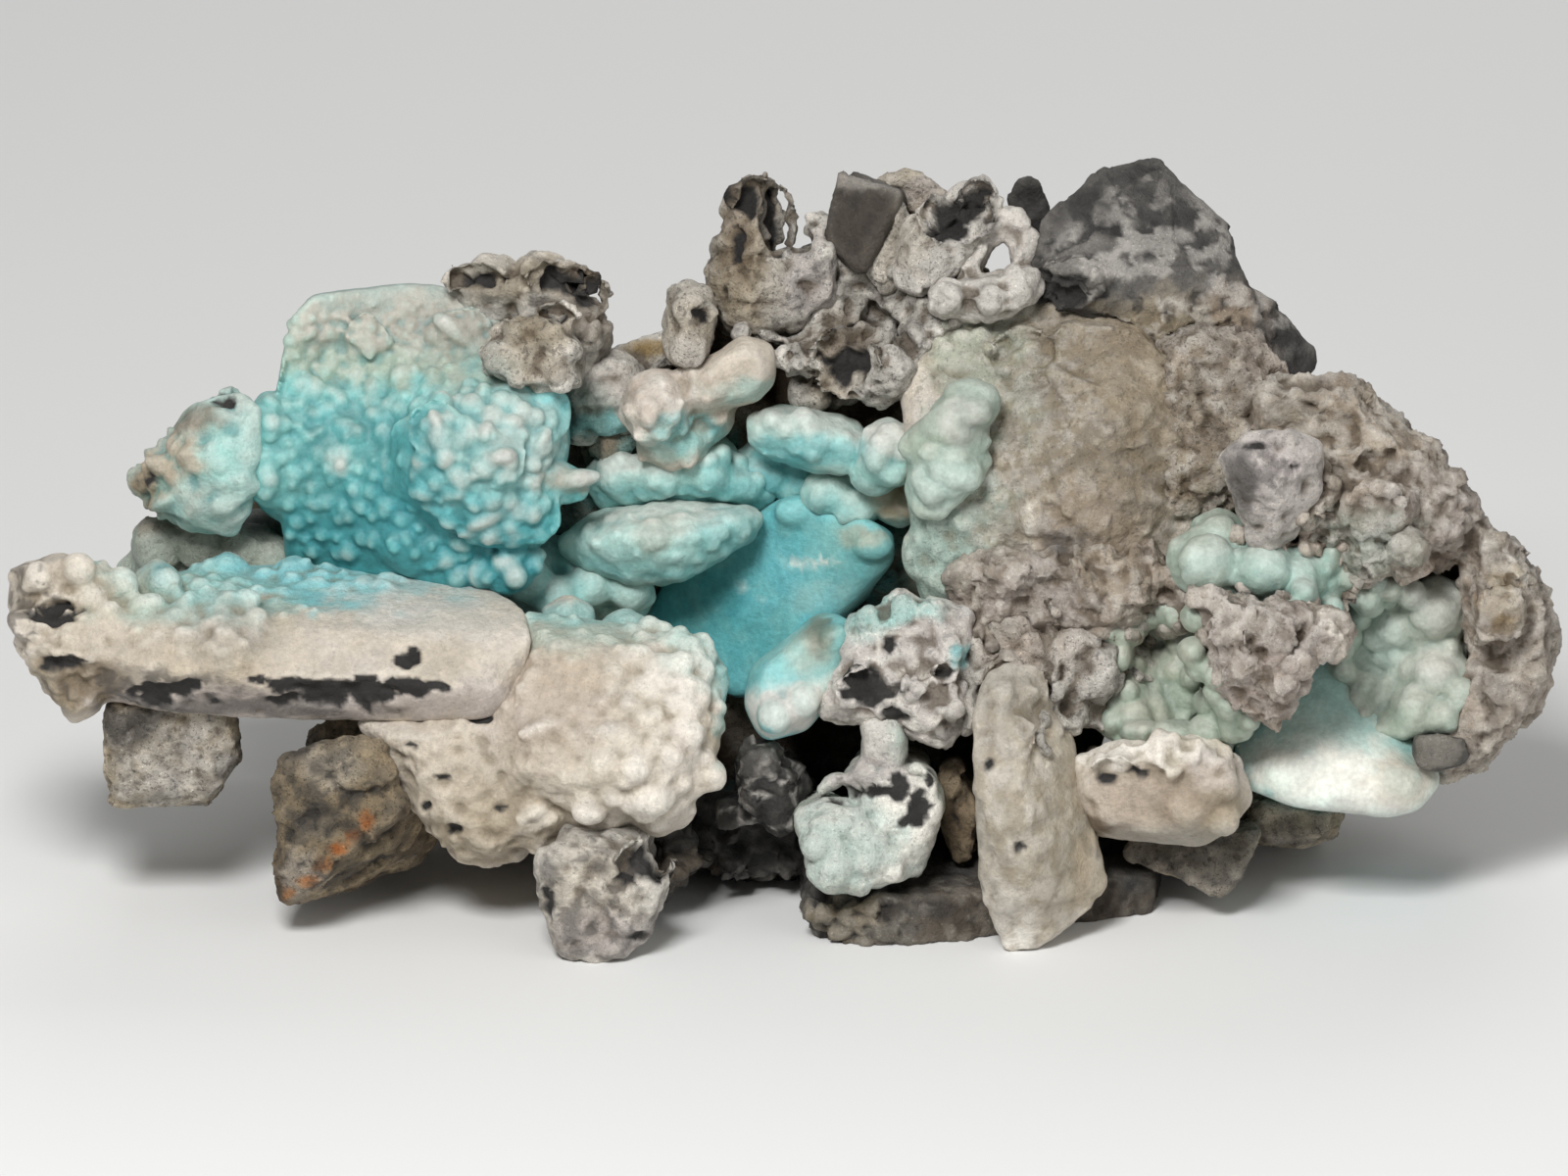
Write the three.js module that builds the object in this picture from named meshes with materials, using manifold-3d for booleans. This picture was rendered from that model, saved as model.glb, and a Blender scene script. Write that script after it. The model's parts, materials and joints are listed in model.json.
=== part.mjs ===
// A cabinet specimen of richelsdorfite: a breccia of rock fragments, cemented together and coated with
// pale blue-green botryoidal crust. Each fragment is one named mesh, in millimetres, with +Z up.
import * as THREE from 'three';
import { ConvexGeometry } from 'three/addons/geometries/ConvexGeometry.js';
import { mergeVertices } from 'three/addons/utils/BufferGeometryUtils.js';
import Module from 'manifold-3d';

const wasm = await Module();
wasm.setup();

// Driving dimensions, in millimetres and degrees
const MIDDLE_ACROSS = 0.1; // these two bring the middle of the specimen's box over the origin
const MIDDLE_BACK = 46.7;
const SEAM = 0.9; // most that an open joint between neighbouring fragments may gape
const SIGHT = THREE.MathUtils.degToRad(20); // the specimen is described as seen from this far above level
const FLOOR_REACH = 400;
const SHARD_CORNERS = 8;
const WELD = 1e-4; // corners closer than this are one corner

// A place is [across, up, back]: across from the middle, up as it appears to a viewer at SIGHT, and how far
// it lies behind the frontmost tip. Going back keeps a place at the same spot of the view.
function seen([across, up, back]) {
  const z = (up - back * Math.sin(SIGHT)) / Math.cos(SIGHT);
  return new THREE.Vector3(across - MIDDLE_ACROSS, back - MIDDLE_BACK, z);
}

// Seeded random numbers from 0 to 1
function dice(seed) {
  let state = seed;
  return () => {
    state = (state + 0x6d2b79f5) | 0;
    let t = Math.imul(state ^ (state >>> 15), 1 | state);
    t = (t + Math.imul(t ^ (t >>> 7), 61 | t)) ^ t;
    return ((t ^ (t >>> 14)) >>> 0) / 4294967296;
  };
}

// The convex hull of corner points, enlarged about its middle so that its farthest corner moves by swell
function hull(points, swell) {
  const middle = points.reduce((sum, p) => sum.add(p), new THREE.Vector3()).divideScalar(points.length);
  const reach = Math.max(...points.map((p) => p.distanceTo(middle)));
  return new ConvexGeometry(points.map((p) => p.clone().lerp(middle, -swell / reach)));
}

// Every shape below is a function of swell, so that a neighbour can be cut a little wider than the shape.

// A flat-faced chip of rock through the given places
const chip = (...places) => (swell) => hull(places.map(seen), swell);

// A stone from its outline [across, up]: a smaller face in front, the full outline a bevel behind it, and a
// smaller, simpler tail at the back. lean and slant carry the depth back per millimetre up and across. The
// tail lies hidden behind the face in the view: a rise of 1 brings it up to the level of the face.
function stone(outline, front, back, shape = {}) {
  const { bevel = 3, face = 0.72, tail = 0.7, lean = 0, slant = 0, rise = 0 } = shape;
  const middle = [0, 1].map((i) => outline.reduce((sum, p) => sum + p[i], 0) / outline.length);
  const ring = (share, depth, tip, corners = outline) =>
    corners.map(([across, up]) => {
      const dx = (across - middle[0]) * share;
      const dz = (up - middle[1]) * share;
      const lift = rise * (depth - front) * Math.sin(SIGHT);
      return [middle[0] + dx, middle[1] + dz + lift, depth + tip * (lean * dz + slant * dx)];
    });
  const few = outline.filter((_, i) => i % (outline.length > 7 ? 3 : 2) === 0);
  return chip(...ring(face, front, 1), ...ring(1, front + bevel, 1), ...ring(tail, back, 0, few));
}

// A rounded lump of crust: a faceted ball of the given radii, across, up and through
function lump(place, radius, { tall = 1, deep = 1, wide = 1, turn = 0 } = {}) {
  return (swell) =>
    new THREE.IcosahedronGeometry(1)
      .scale(radius * wide + swell / 2, radius * deep + swell / 2, radius * tall + swell / 2)
      .rotateY(THREE.MathUtils.degToRad(turn))
      .translate(...seen(place).toArray());
}

// A broken angular piece of rock about a place, size across, with its corners thrown by the seed
function shard(seed, place, size) {
  const roll = dice(seed);
  const middle = seen(place);
  const corners = Array.from({ length: SHARD_CORNERS }, () => {
    const turn = roll() * 2 * Math.PI;
    const height = roll() * 2 - 1;
    const reach = (size / 2) * (0.85 + 0.4 * roll());
    const level = Math.sqrt(1 - height * height);
    return new THREE.Vector3(level * Math.cos(turn), level * Math.sin(turn), height)
      .multiplyScalar(reach)
      .add(middle);
  });
  return (swell) => hull(corners, swell);
}

// Shards given as [across, up, back, size]
const shards = (seed, ...rows) =>
  rows.map(([across, up, back, size], i) => shard(seed + i, [across, up, back], size));

// A run of lumps given as [across, up, back, radius]
const lumps = (...rows) => rows.map(([across, up, back, radius]) => lump([across, up, back], radius));

// Left side: the long ledge, the blocks that hang under it and the blue botryoidal block on it
function leftSide() {
  return [
    {
      name: 'left_ledge',
      look: 'cream_crust',
      shapes: [
        chip([-98.2, 44.4, 16], [-94.6, 40.4, 13], [-75.9, 37.6, 11], [-65.1, 36.4, 10], [-42, 35.6, 9],
          [-36.6, 35.5, 10], [-32.1, 41.8, 14], [-33, 45.2, 20], [-38.9, 48.9, 30], [-48.6, 51.5, 36],
          [-63, 50.2, 40], [-80.4, 48.9, 38], [-96, 49, 30], [-94.2, 37.6, 16], [-89, 34.5, 20],
          [-79.9, 33.2, 15], [-68.8, 31.9, 14], [-53.1, 31.6, 13], [-38, 31.5, 12], [-34, 32.8, 13],
          [-34, 38, 30], [-48, 43, 38], [-63, 43, 42], [-84, 42, 38]),
        stone([[-97.4, 41.5], [-94.2, 37.6], [-89.8, 31], [-86.8, 32.5], [-84.5, 36], [-86, 40]],
          14, 34),
        stone([[-98, 45], [-97.4, 50.4], [-92, 52.5], [-86, 51], [-81, 47.5], [-86, 44]], 20, 36,
          { bevel: 4 }),
        ...lumps([-87, 47, 22.6, 3.8], [-79.4, 48.6, 26.6, 3.2], [-70.6, 49.8, 33, 2.9],
          [-62, 49.4, 32, 2.9]),
        lump([-71, 44.9, 19], 2.8, { wide: 2, turn: 12 }),
        lump([-70.4, 39.8, 12.6], 2.7, { wide: 1.5 }),
      ],
    },
    {
      name: 'hanging_block_left',
      look: 'tan_rock',
      shapes: [
        stone([[-85.4, 34], [-85.7, 23.8], [-84.8, 21], [-72.5, 20.9], [-68.8, 26.9], [-69.6, 34.5]],
          17, 40, { bevel: 2, face: 0.86, tail: 0.8 }),
        chip([-84, 34, 18], [-70, 34, 18], [-84, 38, 34], [-70, 38, 34], [-82, 26, 30], [-72, 26, 30]),
      ],
    },
    {
      name: 'rusty_wedge',
      look: 'brown_rock',
      shapes: [
        stone([[-64.6, 24.4], [-63.8, 10], [-62.5, 8.6], [-60.3, 8.9], [-47.1, 20.4], [-50.5, 28.6],
          [-56.1, 29.2], [-62.5, 26.8]], 8, 24, { bevel: 2, face: 0.88 }),
        chip([-62, 9, 10], [-50, 16, 12], [-47, 20, 14], [-42, 21, 26], [-46, 13.5, 24], [-55, 10, 22],
          [-60, 22, 50], [-44, 24, 50], [-52, 34, 30], [-60, 30, 34]),
      ],
    },
    {
      name: 'left_fin',
      look: 'cream_crust',
      shapes: [
        stone([[-83.3, 61.4], [-73.3, 71.4], [-69.3, 72.5], [-66.5, 70.8], [-66.8, 60.9], [-69.3, 55.1],
          [-74.1, 57.4], [-78.6, 56.9]], 30, 50, { bevel: 3, tail: 0.8, slant: -0.25 }),
        ...lumps([-72.5, 64.5, 31, 3], [-71, 60, 32, 2.6]),
        chip([-76, 71, 37], [-69.5, 74.4, 37], [-68, 72.6, 40], [-71, 66, 44], [-78, 66, 42]),
      ],
    },
    {
      name: 'grey_back_lumps',
      look: 'grey_crust',
      shapes: [
        stone([[-85.2, 49.5], [-79, 57.2], [-72, 56.6], [-62, 58], [-60, 49], [-66, 44]], 44, 62,
          { bevel: 4 }),
        ...lumps([-79.5, 53.4, 44, 3.4], [-74, 54, 43, 3.2], [-69, 52.8, 42, 3.4],
          [-64.8, 51.8, 41, 3]),
      ],
    },
    {
      name: 'blue_botryoidal_block',
      look: 'turquoise_crust',
      shapes: [
        chip([-59.5, 84.6, 42], [-61.4, 82.4, 40], [-62.4, 75.3, 33], [-47.6, 85.8, 44],
          [-42.6, 85.4, 44], [-37.8, 83.4, 42], [-36.5, 77.9, 38], [-38, 73, 32], [-60, 73, 31],
          [-64, 68, 33], [-62.5, 60, 32], [-62.2, 51, 35], [-56, 49, 33], [-47.6, 50, 31],
          [-38, 48, 28], [-31, 55, 30], [-28, 66, 32], [-28.5, 72, 36], [-57, 80, 60], [-38, 80, 60],
          [-30, 66, 60], [-58, 52, 60], [-34, 52, 60]),
        stone([[-65.5, 72.4], [-67.2, 67.6], [-66, 58.8], [-63, 57], [-58, 62], [-58, 70]], 32, 50,
          { bevel: 4 }),
        lump([-40.5, 64.4, 28.6], 8.4, { wide: 1.15, tall: 0.95 }),
        lump([-34.5, 68.5, 29.6], 6.4),
        lump([-47, 54.5, 31], 4.4, { wide: 1.2 }),
        lump([-37.2, 57.4, 27.4], 3.8, { wide: 1.7, tall: 0.9, turn: 22 }),
        lump([-29.2, 61.6, 28.6], 2.3, { wide: 2.1, tall: 0.9, turn: 12 }),
        lump([-41.6, 80, 38], 2.4, { wide: 2.1, turn: -30 }),
        lump([-52.8, 79.2, 36.5], 2.2, { tall: 1.6 }),
        ...lumps([-64.8, 69, 34, 3.2], [-65, 62, 34, 3.2], [-43.9, 68.2, 23, 3.2],
          [-36.3, 64.6, 22.4, 3.4], [-30.6, 70, 29, 3.4], [-31.8, 57.6, 26, 3.3], [-35, 51, 28, 3.4]),
      ],
    },
    {
      name: 'tan_crown_stone',
      look: 'tan_rock',
      shapes: [
        stone([[-36.9, 79.8], [-33.2, 82.4], [-28, 81.6], [-25, 78.6], [-25.2, 73.8], [-30, 72.8],
          [-37.6, 75.6]], 27, 44, { bevel: 3 }),
        ...lumps([-36, 77, 29, 2.5], [-29.6, 80.2, 30, 2.5]),
      ],
    },
    {
      name: 'crown_shells',
      look: 'grey_crust',
      shapes: [
        stone([[-42.3, 86], [-37.8, 90.3], [-34.4, 89.2], [-33.4, 84], [-36, 81], [-40.5, 83]], 40, 54,
          { bevel: 2 }),
        stone([[-34.6, 86], [-33, 90], [-31.1, 90.8], [-27.3, 88.9], [-22, 81.8], [-21.6, 78.4],
          [-24, 74], [-30, 76], [-34, 79]], 38, 58, { bevel: 3, tail: 0.55 }),
        lump([-38, 84.8, 42], 2.2, { wide: 1.8 }),
        ...lumps([-31.6, 86, 39, 2.5], [-24.4, 80, 39, 2.4]),
      ],
    },
  ];
}

// Lower middle: the big cream block, the wedges that reach the ground and the dark base plate
function lowerMiddle() {
  return [
    {
      name: 'cream_block',
      look: 'cream_crust',
      shapes: [
        stone([[-53.5, 31.2], [-47.5, 21.1], [-41.1, 13.8], [-36.6, 13], [-20, 20], [-19, 30],
          [-32, 33.6]], 9, 48, { bevel: 4, lean: 0.12 }),
        stone([[-38, 31], [-35, 24], [-27, 20.4], [-15, 20], [-9.5, 23], [-7.2, 37.3], [-9.2, 40.3],
          [-12.3, 42], [-32.4, 44.6], [-34, 38]], 8, 50, { bevel: 6, lean: 0.62, face: 0.7 }),
        chip([-34, 31, 9], [-14, 29.6, 8], [-10, 25.5, 10], [-33, 24, 10], [-30, 20, 14],
          [-12, 22, 14]),
        ...lumps([-31.4, 19, 12, 4.6], [-23.6, 20.4, 11, 4.2], [-15.6, 21.6, 11, 4.8],
          [-13.4, 33.6, 10.4, 3.6], [-13, 38.6, 16.4, 4.2], [-19.8, 42, 25, 3.4],
          [-27.4, 43.6, 29, 3.6]),
      ],
    },
    {
      name: 'front_foot_wedge',
      look: 'grey_crust',
      shapes: [
        stone([[-30.9, 15.2], [-31.5, 10.6], [-28.8, 1.9], [-22.5, 0.2], [-20, 1], [-16.9, 4.4],
          [-14.4, 11.4], [-17.5, 15.2], [-24, 16.8]], 1.4, 15, { bevel: 1.8, face: 0.86, tail: 0.82 }),
        chip([-28, 16, 3], [-18, 16, 3], [-30, 8, 12], [-16, 9, 12], [-28, 22, 24], [-17, 23, 24],
          [-26, 14, 26], [-18, 14, 26]),
      ],
    },
    {
      name: 'dark_rubble',
      look: 'dark_rock',
      shapes: [
        chip([-18, 9, 14], [-13.4, 12, 13], [-10.4, 15.4, 17], [-9.8, 13.4, 19], [-14.6, 9.4, 19],
          [-17.6, 16.4, 18], [-12, 17.4, 19], [-14, 13, 40], [-10, 20, 44], [-17, 20, 44]),
        stone([[-14, 22], [-13.4, 14], [-8.6, 11.6], [-1, 10.8], [4.4, 12.4], [4, 24]], 24, 50,
          { bevel: 4 }),
        ...shards(211, [-7, 13, 24, 6], [1, 13.8, 25, 6]),
      ],
    },
    {
      name: 'dark_knob',
      look: 'dark_rock',
      shapes: [
        stone([[-6.1, 26.3], [-4.6, 28.4], [-1.3, 28.4], [3.4, 23.9], [2, 19.4], [-0.6, 16.8],
          [-5.6, 21]], 14, 46, { bevel: 3, face: 0.6 }),
        chip([-8.2, 17.6, 18], [-2.6, 18.8, 17], [-8.6, 21, 20], [-3, 23, 20], [-7, 20, 34],
          [-2, 21, 34]),
      ],
    },
    {
      name: 'lumpy_foot_stone',
      look: 'grey_crust',
      shapes: [
        stone([[1.8, 18.8], [4.1, 10.6], [6.3, 9], [15.6, 10.9], [16.4, 14], [7.1, 20.3]], 7, 26,
          { bevel: 3, rise: 0.7 }),
        stone([[8.4, 23], [9.9, 25.1], [18.4, 23.9], [19.8, 20.3], [17.1, 11.2], [12.6, 12.4]], 9, 30,
          { bevel: 3, rise: 0.7 }),
        ...lumps([6.6, 12.8, 8, 2.7], [5, 16.4, 8, 2.6]),
        stone([[10.6, 31.4], [10.8, 26], [14, 24.6], [15, 27.6], [14.4, 31.8]], 11, 34, { bevel: 1.6 }),
      ],
    },
    {
      name: 'base_plate',
      look: 'dark_rock',
      shapes: [
        chip([3.4, 7.6, 9], [3.6, 5, 10], [6, 3.4, 9.4], [11.8, 2.4, 8], [25, 3.4, 11], [46.4, 6.6, 20],
          [46.6, 11.6, 20], [25, 9.4, 11], [12, 8.4, 9], [3, 21.4, 44], [48, 22.4, 46], [2, 15, 46],
          [50, 16, 48]),
        ...shards(223, [9, 5.8, 11.4, 6]),
      ],
    },
    {
      name: 'side_sliver',
      look: 'brown_rock',
      shapes: [
        chip([20, 25.4, 18], [22, 26.4, 17], [24.6, 19, 17], [24.2, 14, 17], [22, 13.4, 18],
          [20.2, 18, 18], [21, 26, 44], [24.6, 24, 44], [21, 18, 40], [24.4, 17, 40]),
      ],
    },
    {
      name: 'long_foot_wedge',
      look: 'cream_crust',
      shapes: [
        chip([24, 31.4, 7], [24.4, 24, 6], [25, 10, 5], [26.9, 6.9, 5], [28.2, 2.2, 5.6],
          [31.1, 2.2, 6], [31.7, 3.8, 6], [38.5, 6.9, 9], [40.6, 10.4, 11], [40.3, 13.1, 12],
          [37.1, 18.8, 11], [35.8, 24, 11], [36.4, 27.6, 13], [33.6, 31.1, 13], [33.4, 35, 15],
          [29.1, 38.6, 14], [25.6, 37, 12], [30, 24, 3.6], [31, 12, 3.4], [26.4, 34, 30], [35, 34, 32],
          [27, 14, 20], [38, 12, 24], [29, 6, 14]),
        ...lumps([29.6, 29.4, 6, 2.8], [31.4, 36, 12, 2.6]),
      ],
    },
    {
      name: 'lower_right_block',
      look: 'cream_crust',
      shapes: [
        stone([[36.4, 26.5], [42, 28.6], [52.6, 29.4], [57.5, 26.5], [59.3, 21.3], [56.1, 17.4],
          [52.6, 15.5], [38.8, 17], [36.2, 22.3]], 9, 46, { bevel: 4, face: 0.78 }),
        ...lumps([51, 21, 10.4, 3.6], [48.8, 27.2, 10.4, 2.6]),
      ],
    },
    {
      name: 'hanging_tooth',
      look: 'tan_rock',
      shapes: [
        chip([50.8, 14, 18], [58.8, 14.4, 18], [57.9, 11.2, 17], [55.4, 8.8, 16], [43.6, 14.4, 20],
          [46, 17.4, 20], [60.4, 17.2, 20], [52, 17, 46], [60, 18, 46], [55, 13, 26], [50, 22, 48]),
        stone([[59.6, 21], [71, 20], [70.4, 17], [66, 15.2], [61.6, 15.6], [58.4, 17]], 24, 48,
          { bevel: 3 }),
      ],
    },
  ];
}

// Middle: the cavity, with its smooth blue slab, the stacked ledges and the lip in front of them
function cavity() {
  return [
    {
      name: 'turquoise_lip',
      look: 'turquoise_crust',
      shapes: [
        stone([[-4.8, 33.3], [-3.8, 38.1], [4.5, 44.6], [7.5, 44.3], [9.2, 40.6], [6.4, 34.6],
          [2.6, 30.5], [-2.3, 29.2]], 14, 40, { bevel: 4, lean: 0.5 }),
        ...lumps([6.8, 41.8, 19, 2.7], [-1.2, 32, 14, 2.7]),
      ],
    },
    {
      name: 'grey_bridge_crust',
      look: 'grey_crust',
      shapes: [
        stone([[4.6, 32], [8.2, 39], [8.2, 44.6], [18.8, 47], [24, 45], [23.2, 31], [20.9, 28]], 12, 44,
          { bevel: 3, lean: 0.35 }),
        ...lumps([16, 36, 12.6, 2.8], [15, 45.8, 18, 2.6]),
      ],
    },
    {
      name: 'rubble_shelf',
      look: 'grey_crust',
      shapes: [
        stone([[20, 49.6], [26, 52.8], [44.6, 52], [48.4, 49.4], [46.8, 46], [42, 43.6], [34, 42.4],
          [24, 43.6]], 17, 46, { bevel: 3 }),
        ...shards(229, [28, 49.4, 18, 7], [38, 49, 17.4, 8], [44.6, 47.8, 18.4, 6]),
      ],
    },
    {
      name: 'fin_cluster',
      look: 'tan_rock',
      shapes: [
        chip([25.6, 43.6, 16], [30, 42.4, 15], [33.4, 38.2, 15], [34.6, 33.8, 15], [35.4, 36, 18],
          [35, 44, 20], [28, 44, 22], [30, 36, 26], [36, 38, 44], [28, 42, 44]),
        stone([[35.6, 43.6], [40.8, 41.8], [43, 37], [40.6, 33.2], [36.2, 32.2], [34.8, 37]], 15, 44,
          { bevel: 2.4 }),
        ...shards(241, [38.2, 41, 17, 4.6], [40.8, 36, 17, 4.4]),
      ],
    },
    {
      name: 'smooth_blue_slab',
      look: 'turquoise_crust',
      shapes: [
        chip([-4.4, 54, 43], [-2, 57.8, 41], [1, 59.7, 40], [3.6, 59, 39], [6.4, 57.4, 37],
          [11.6, 56, 34], [13.6, 54.2, 33.6], [13.9, 52.2, 34], [12.1, 49.6, 35], [7, 45.2, 35.6],
          [3.9, 43, 36], [-3, 35, 38], [-6, 34.4, 40], [-8, 38.4, 42], [-14, 41, 45], [-18.4, 43.6, 47],
          [-17.4, 48.2, 48], [-13.4, 50.6, 47], [-1, 56, 60], [11, 54, 56], [8, 44, 56], [-4, 36, 58],
          [-16, 44, 60], [-12, 50, 60]),
        lump([11, 53.6, 36.4], 3, { wide: 1.1, tall: 0.9 }),
        lump([1.6, 56.8, 41.4], 3.2),
      ],
    },
    {
      name: 'lower_lens_ledge',
      look: 'turquoise_crust',
      shapes: [
        chip([-28.2, 53.5, 38], [-25.5, 56.2, 37], [-19.8, 57.8, 37], [-11.8, 58.4, 38],
          [-4.5, 58.1, 38], [-2.9, 57.2, 37], [-3.9, 54.9, 36], [-10.1, 51.7, 34], [-13.8, 49.2, 33],
          [-18.1, 49.4, 33], [-24.5, 51.2, 35], [-18, 54.4, 31], [-11, 55, 31.4], [-24, 54, 33.4],
          [-6, 56.6, 33.6], [-26, 52, 54], [-15, 50, 56], [-5, 55, 56], [-22, 57, 54]),
        lump([-15.4, 54, 35.6], 3.8, { wide: 1.8, deep: 1.1, turn: 6 }),
      ],
    },
    {
      name: 'upper_lens_ledge',
      look: 'turquoise_crust',
      shapes: [
        chip([-24.9, 61.9, 42], [-23.6, 64.4, 43], [-17.3, 65.4, 43], [-8.6, 67, 44], [-5.1, 63.6, 42],
          [-1.1, 60.4, 42], [-1.9, 58.9, 43], [-12.5, 58.9, 42], [-18.1, 58.6, 41], [-22.9, 58.9, 42],
          [-17, 62, 37], [-9, 62, 36.6], [-22, 62, 39], [-4, 60.6, 38.6], [-22, 60, 60], [-4, 60, 60],
          [-10, 66, 60]),
        ...lumps([-20.8, 62.6, 40, 2.8], [-15.6, 62.8, 39, 3], [-10, 62.8, 38.8, 3.2]),
      ],
    },
    {
      name: 'cavity_floor_lumps',
      look: 'turquoise_crust',
      shapes: [
        stone([[-34.4, 45], [-35.2, 51], [-31, 54.6], [-26, 52], [-18.4, 51], [-16.8, 47.4],
          [-19, 43.4]], 40, 62, { bevel: 4 }),
        ...lumps([-32.6, 49.4, 38, 3.3], [-28.6, 46.6, 37, 3], [-24.6, 48.4, 39, 3],
          [-19.8, 48.2, 40, 3]),
      ],
    },
    {
      name: 'cream_roof_lumps',
      look: 'cream_crust',
      shapes: [
        stone([[-13.6, 74.6], [-4.8, 79.6], [-1.6, 78.6], [-1.2, 74.4], [-3.4, 72], [-11.2, 70.2]],
          32, 52, { bevel: 3.4, face: 0.66 }),
        ...lumps([-9.8, 73.4, 34, 2.9], [-4, 76.4, 34.6, 3.1]),
        lump([-16.1, 71, 34], 4.7, { tall: 1.1, turn: 20 }),
        stone([[-19.4, 68], [-16, 65.4], [-10, 65.6], [-6.6, 68.6], [-6.4, 72], [-12, 71]], 36, 48,
          { bevel: 3 }),
        lump([-14, 67, 37], 4.2, { wide: 1.2 }),
      ],
    },
    {
      name: 'upper_knob',
      look: 'tan_rock',
      shapes: [
        stone([[-14.6, 85], [-12.4, 87], [-9.6, 86.2], [-8.6, 82], [-9.8, 76.8], [-12, 75.6],
          [-14.8, 77]], 34, 56, { bevel: 3 }),
        lump([-12, 78.4, 35.4], 2.9, { wide: 1.05 }),
        lump([-12.2, 83.6, 36], 2.7),
      ],
    },
    {
      name: 'left_roof_stone',
      look: 'grey_crust',
      shapes: [
        stone([[-27.4, 66], [-27.6, 73], [-25, 77.4], [-21, 78.4], [-17.6, 76], [-17.4, 70.6],
          [-19, 67.4]], 39, 58, { bevel: 3 }),
        lump([-22.6, 70, 40.4], 2.6, { wide: 1.7 }),
        chip([-21, 78.6, 45], [-14.6, 81, 45], [-13.4, 77, 45], [-17.6, 75.4, 44], [-19, 78, 58],
          [-13, 79, 58], [-16, 74, 56]),
      ],
    },
    {
      name: 'turquoise_bar',
      look: 'turquoise_crust',
      shapes: [
        stone([[-4.2, 69.4], [-0.6, 70.8], [9.6, 68.6], [9.6, 65], [7.4, 62.8], [-1.3, 64.9]], 34, 56,
          { bevel: 3.4, face: 0.66 }),
        ...lumps([-1.4, 67.8, 36, 2.8], [3.4, 66.8, 35.4, 2.9], [7.6, 65.8, 35.6, 2.9]),
        lump([13.2, 65.4, 32], 3.5, { tall: 1.2 }),
        lump([11.4, 63, 34], 2.6, { tall: 1.2 }),
        chip([10, 67, 34], [15.6, 67, 34], [15.2, 62, 34], [11, 61.4, 34], [11, 66, 54], [15, 66, 54],
          [15, 62, 54]),
        lump([-2.4, 63.4, 44], 3.6, { wide: 1.1, deep: 1.3 }),
        lump([2, 62, 44], 3.3, { wide: 1.2, deep: 1.3 }),
      ],
    },
    {
      name: 'pale_cluster',
      look: 'turquoise_crust',
      shapes: [
        lump([5.6, 60, 38.6], 3, { wide: 1.1 }),
        lump([8.8, 58, 38], 2.8, { deep: 1.2 }),
        lump([9.4, 61.4, 41], 2.5),
        chip([4, 61, 40], [11, 62, 40], [11, 57.8, 39], [6, 58.2, 40], [5, 62, 58], [12, 62, 58],
          [10, 58, 58]),
        ...lumps([12.6, 60.2, 39, 3], [14.8, 58.6, 38, 2.4]),
      ],
    },
  ];
}

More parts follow.
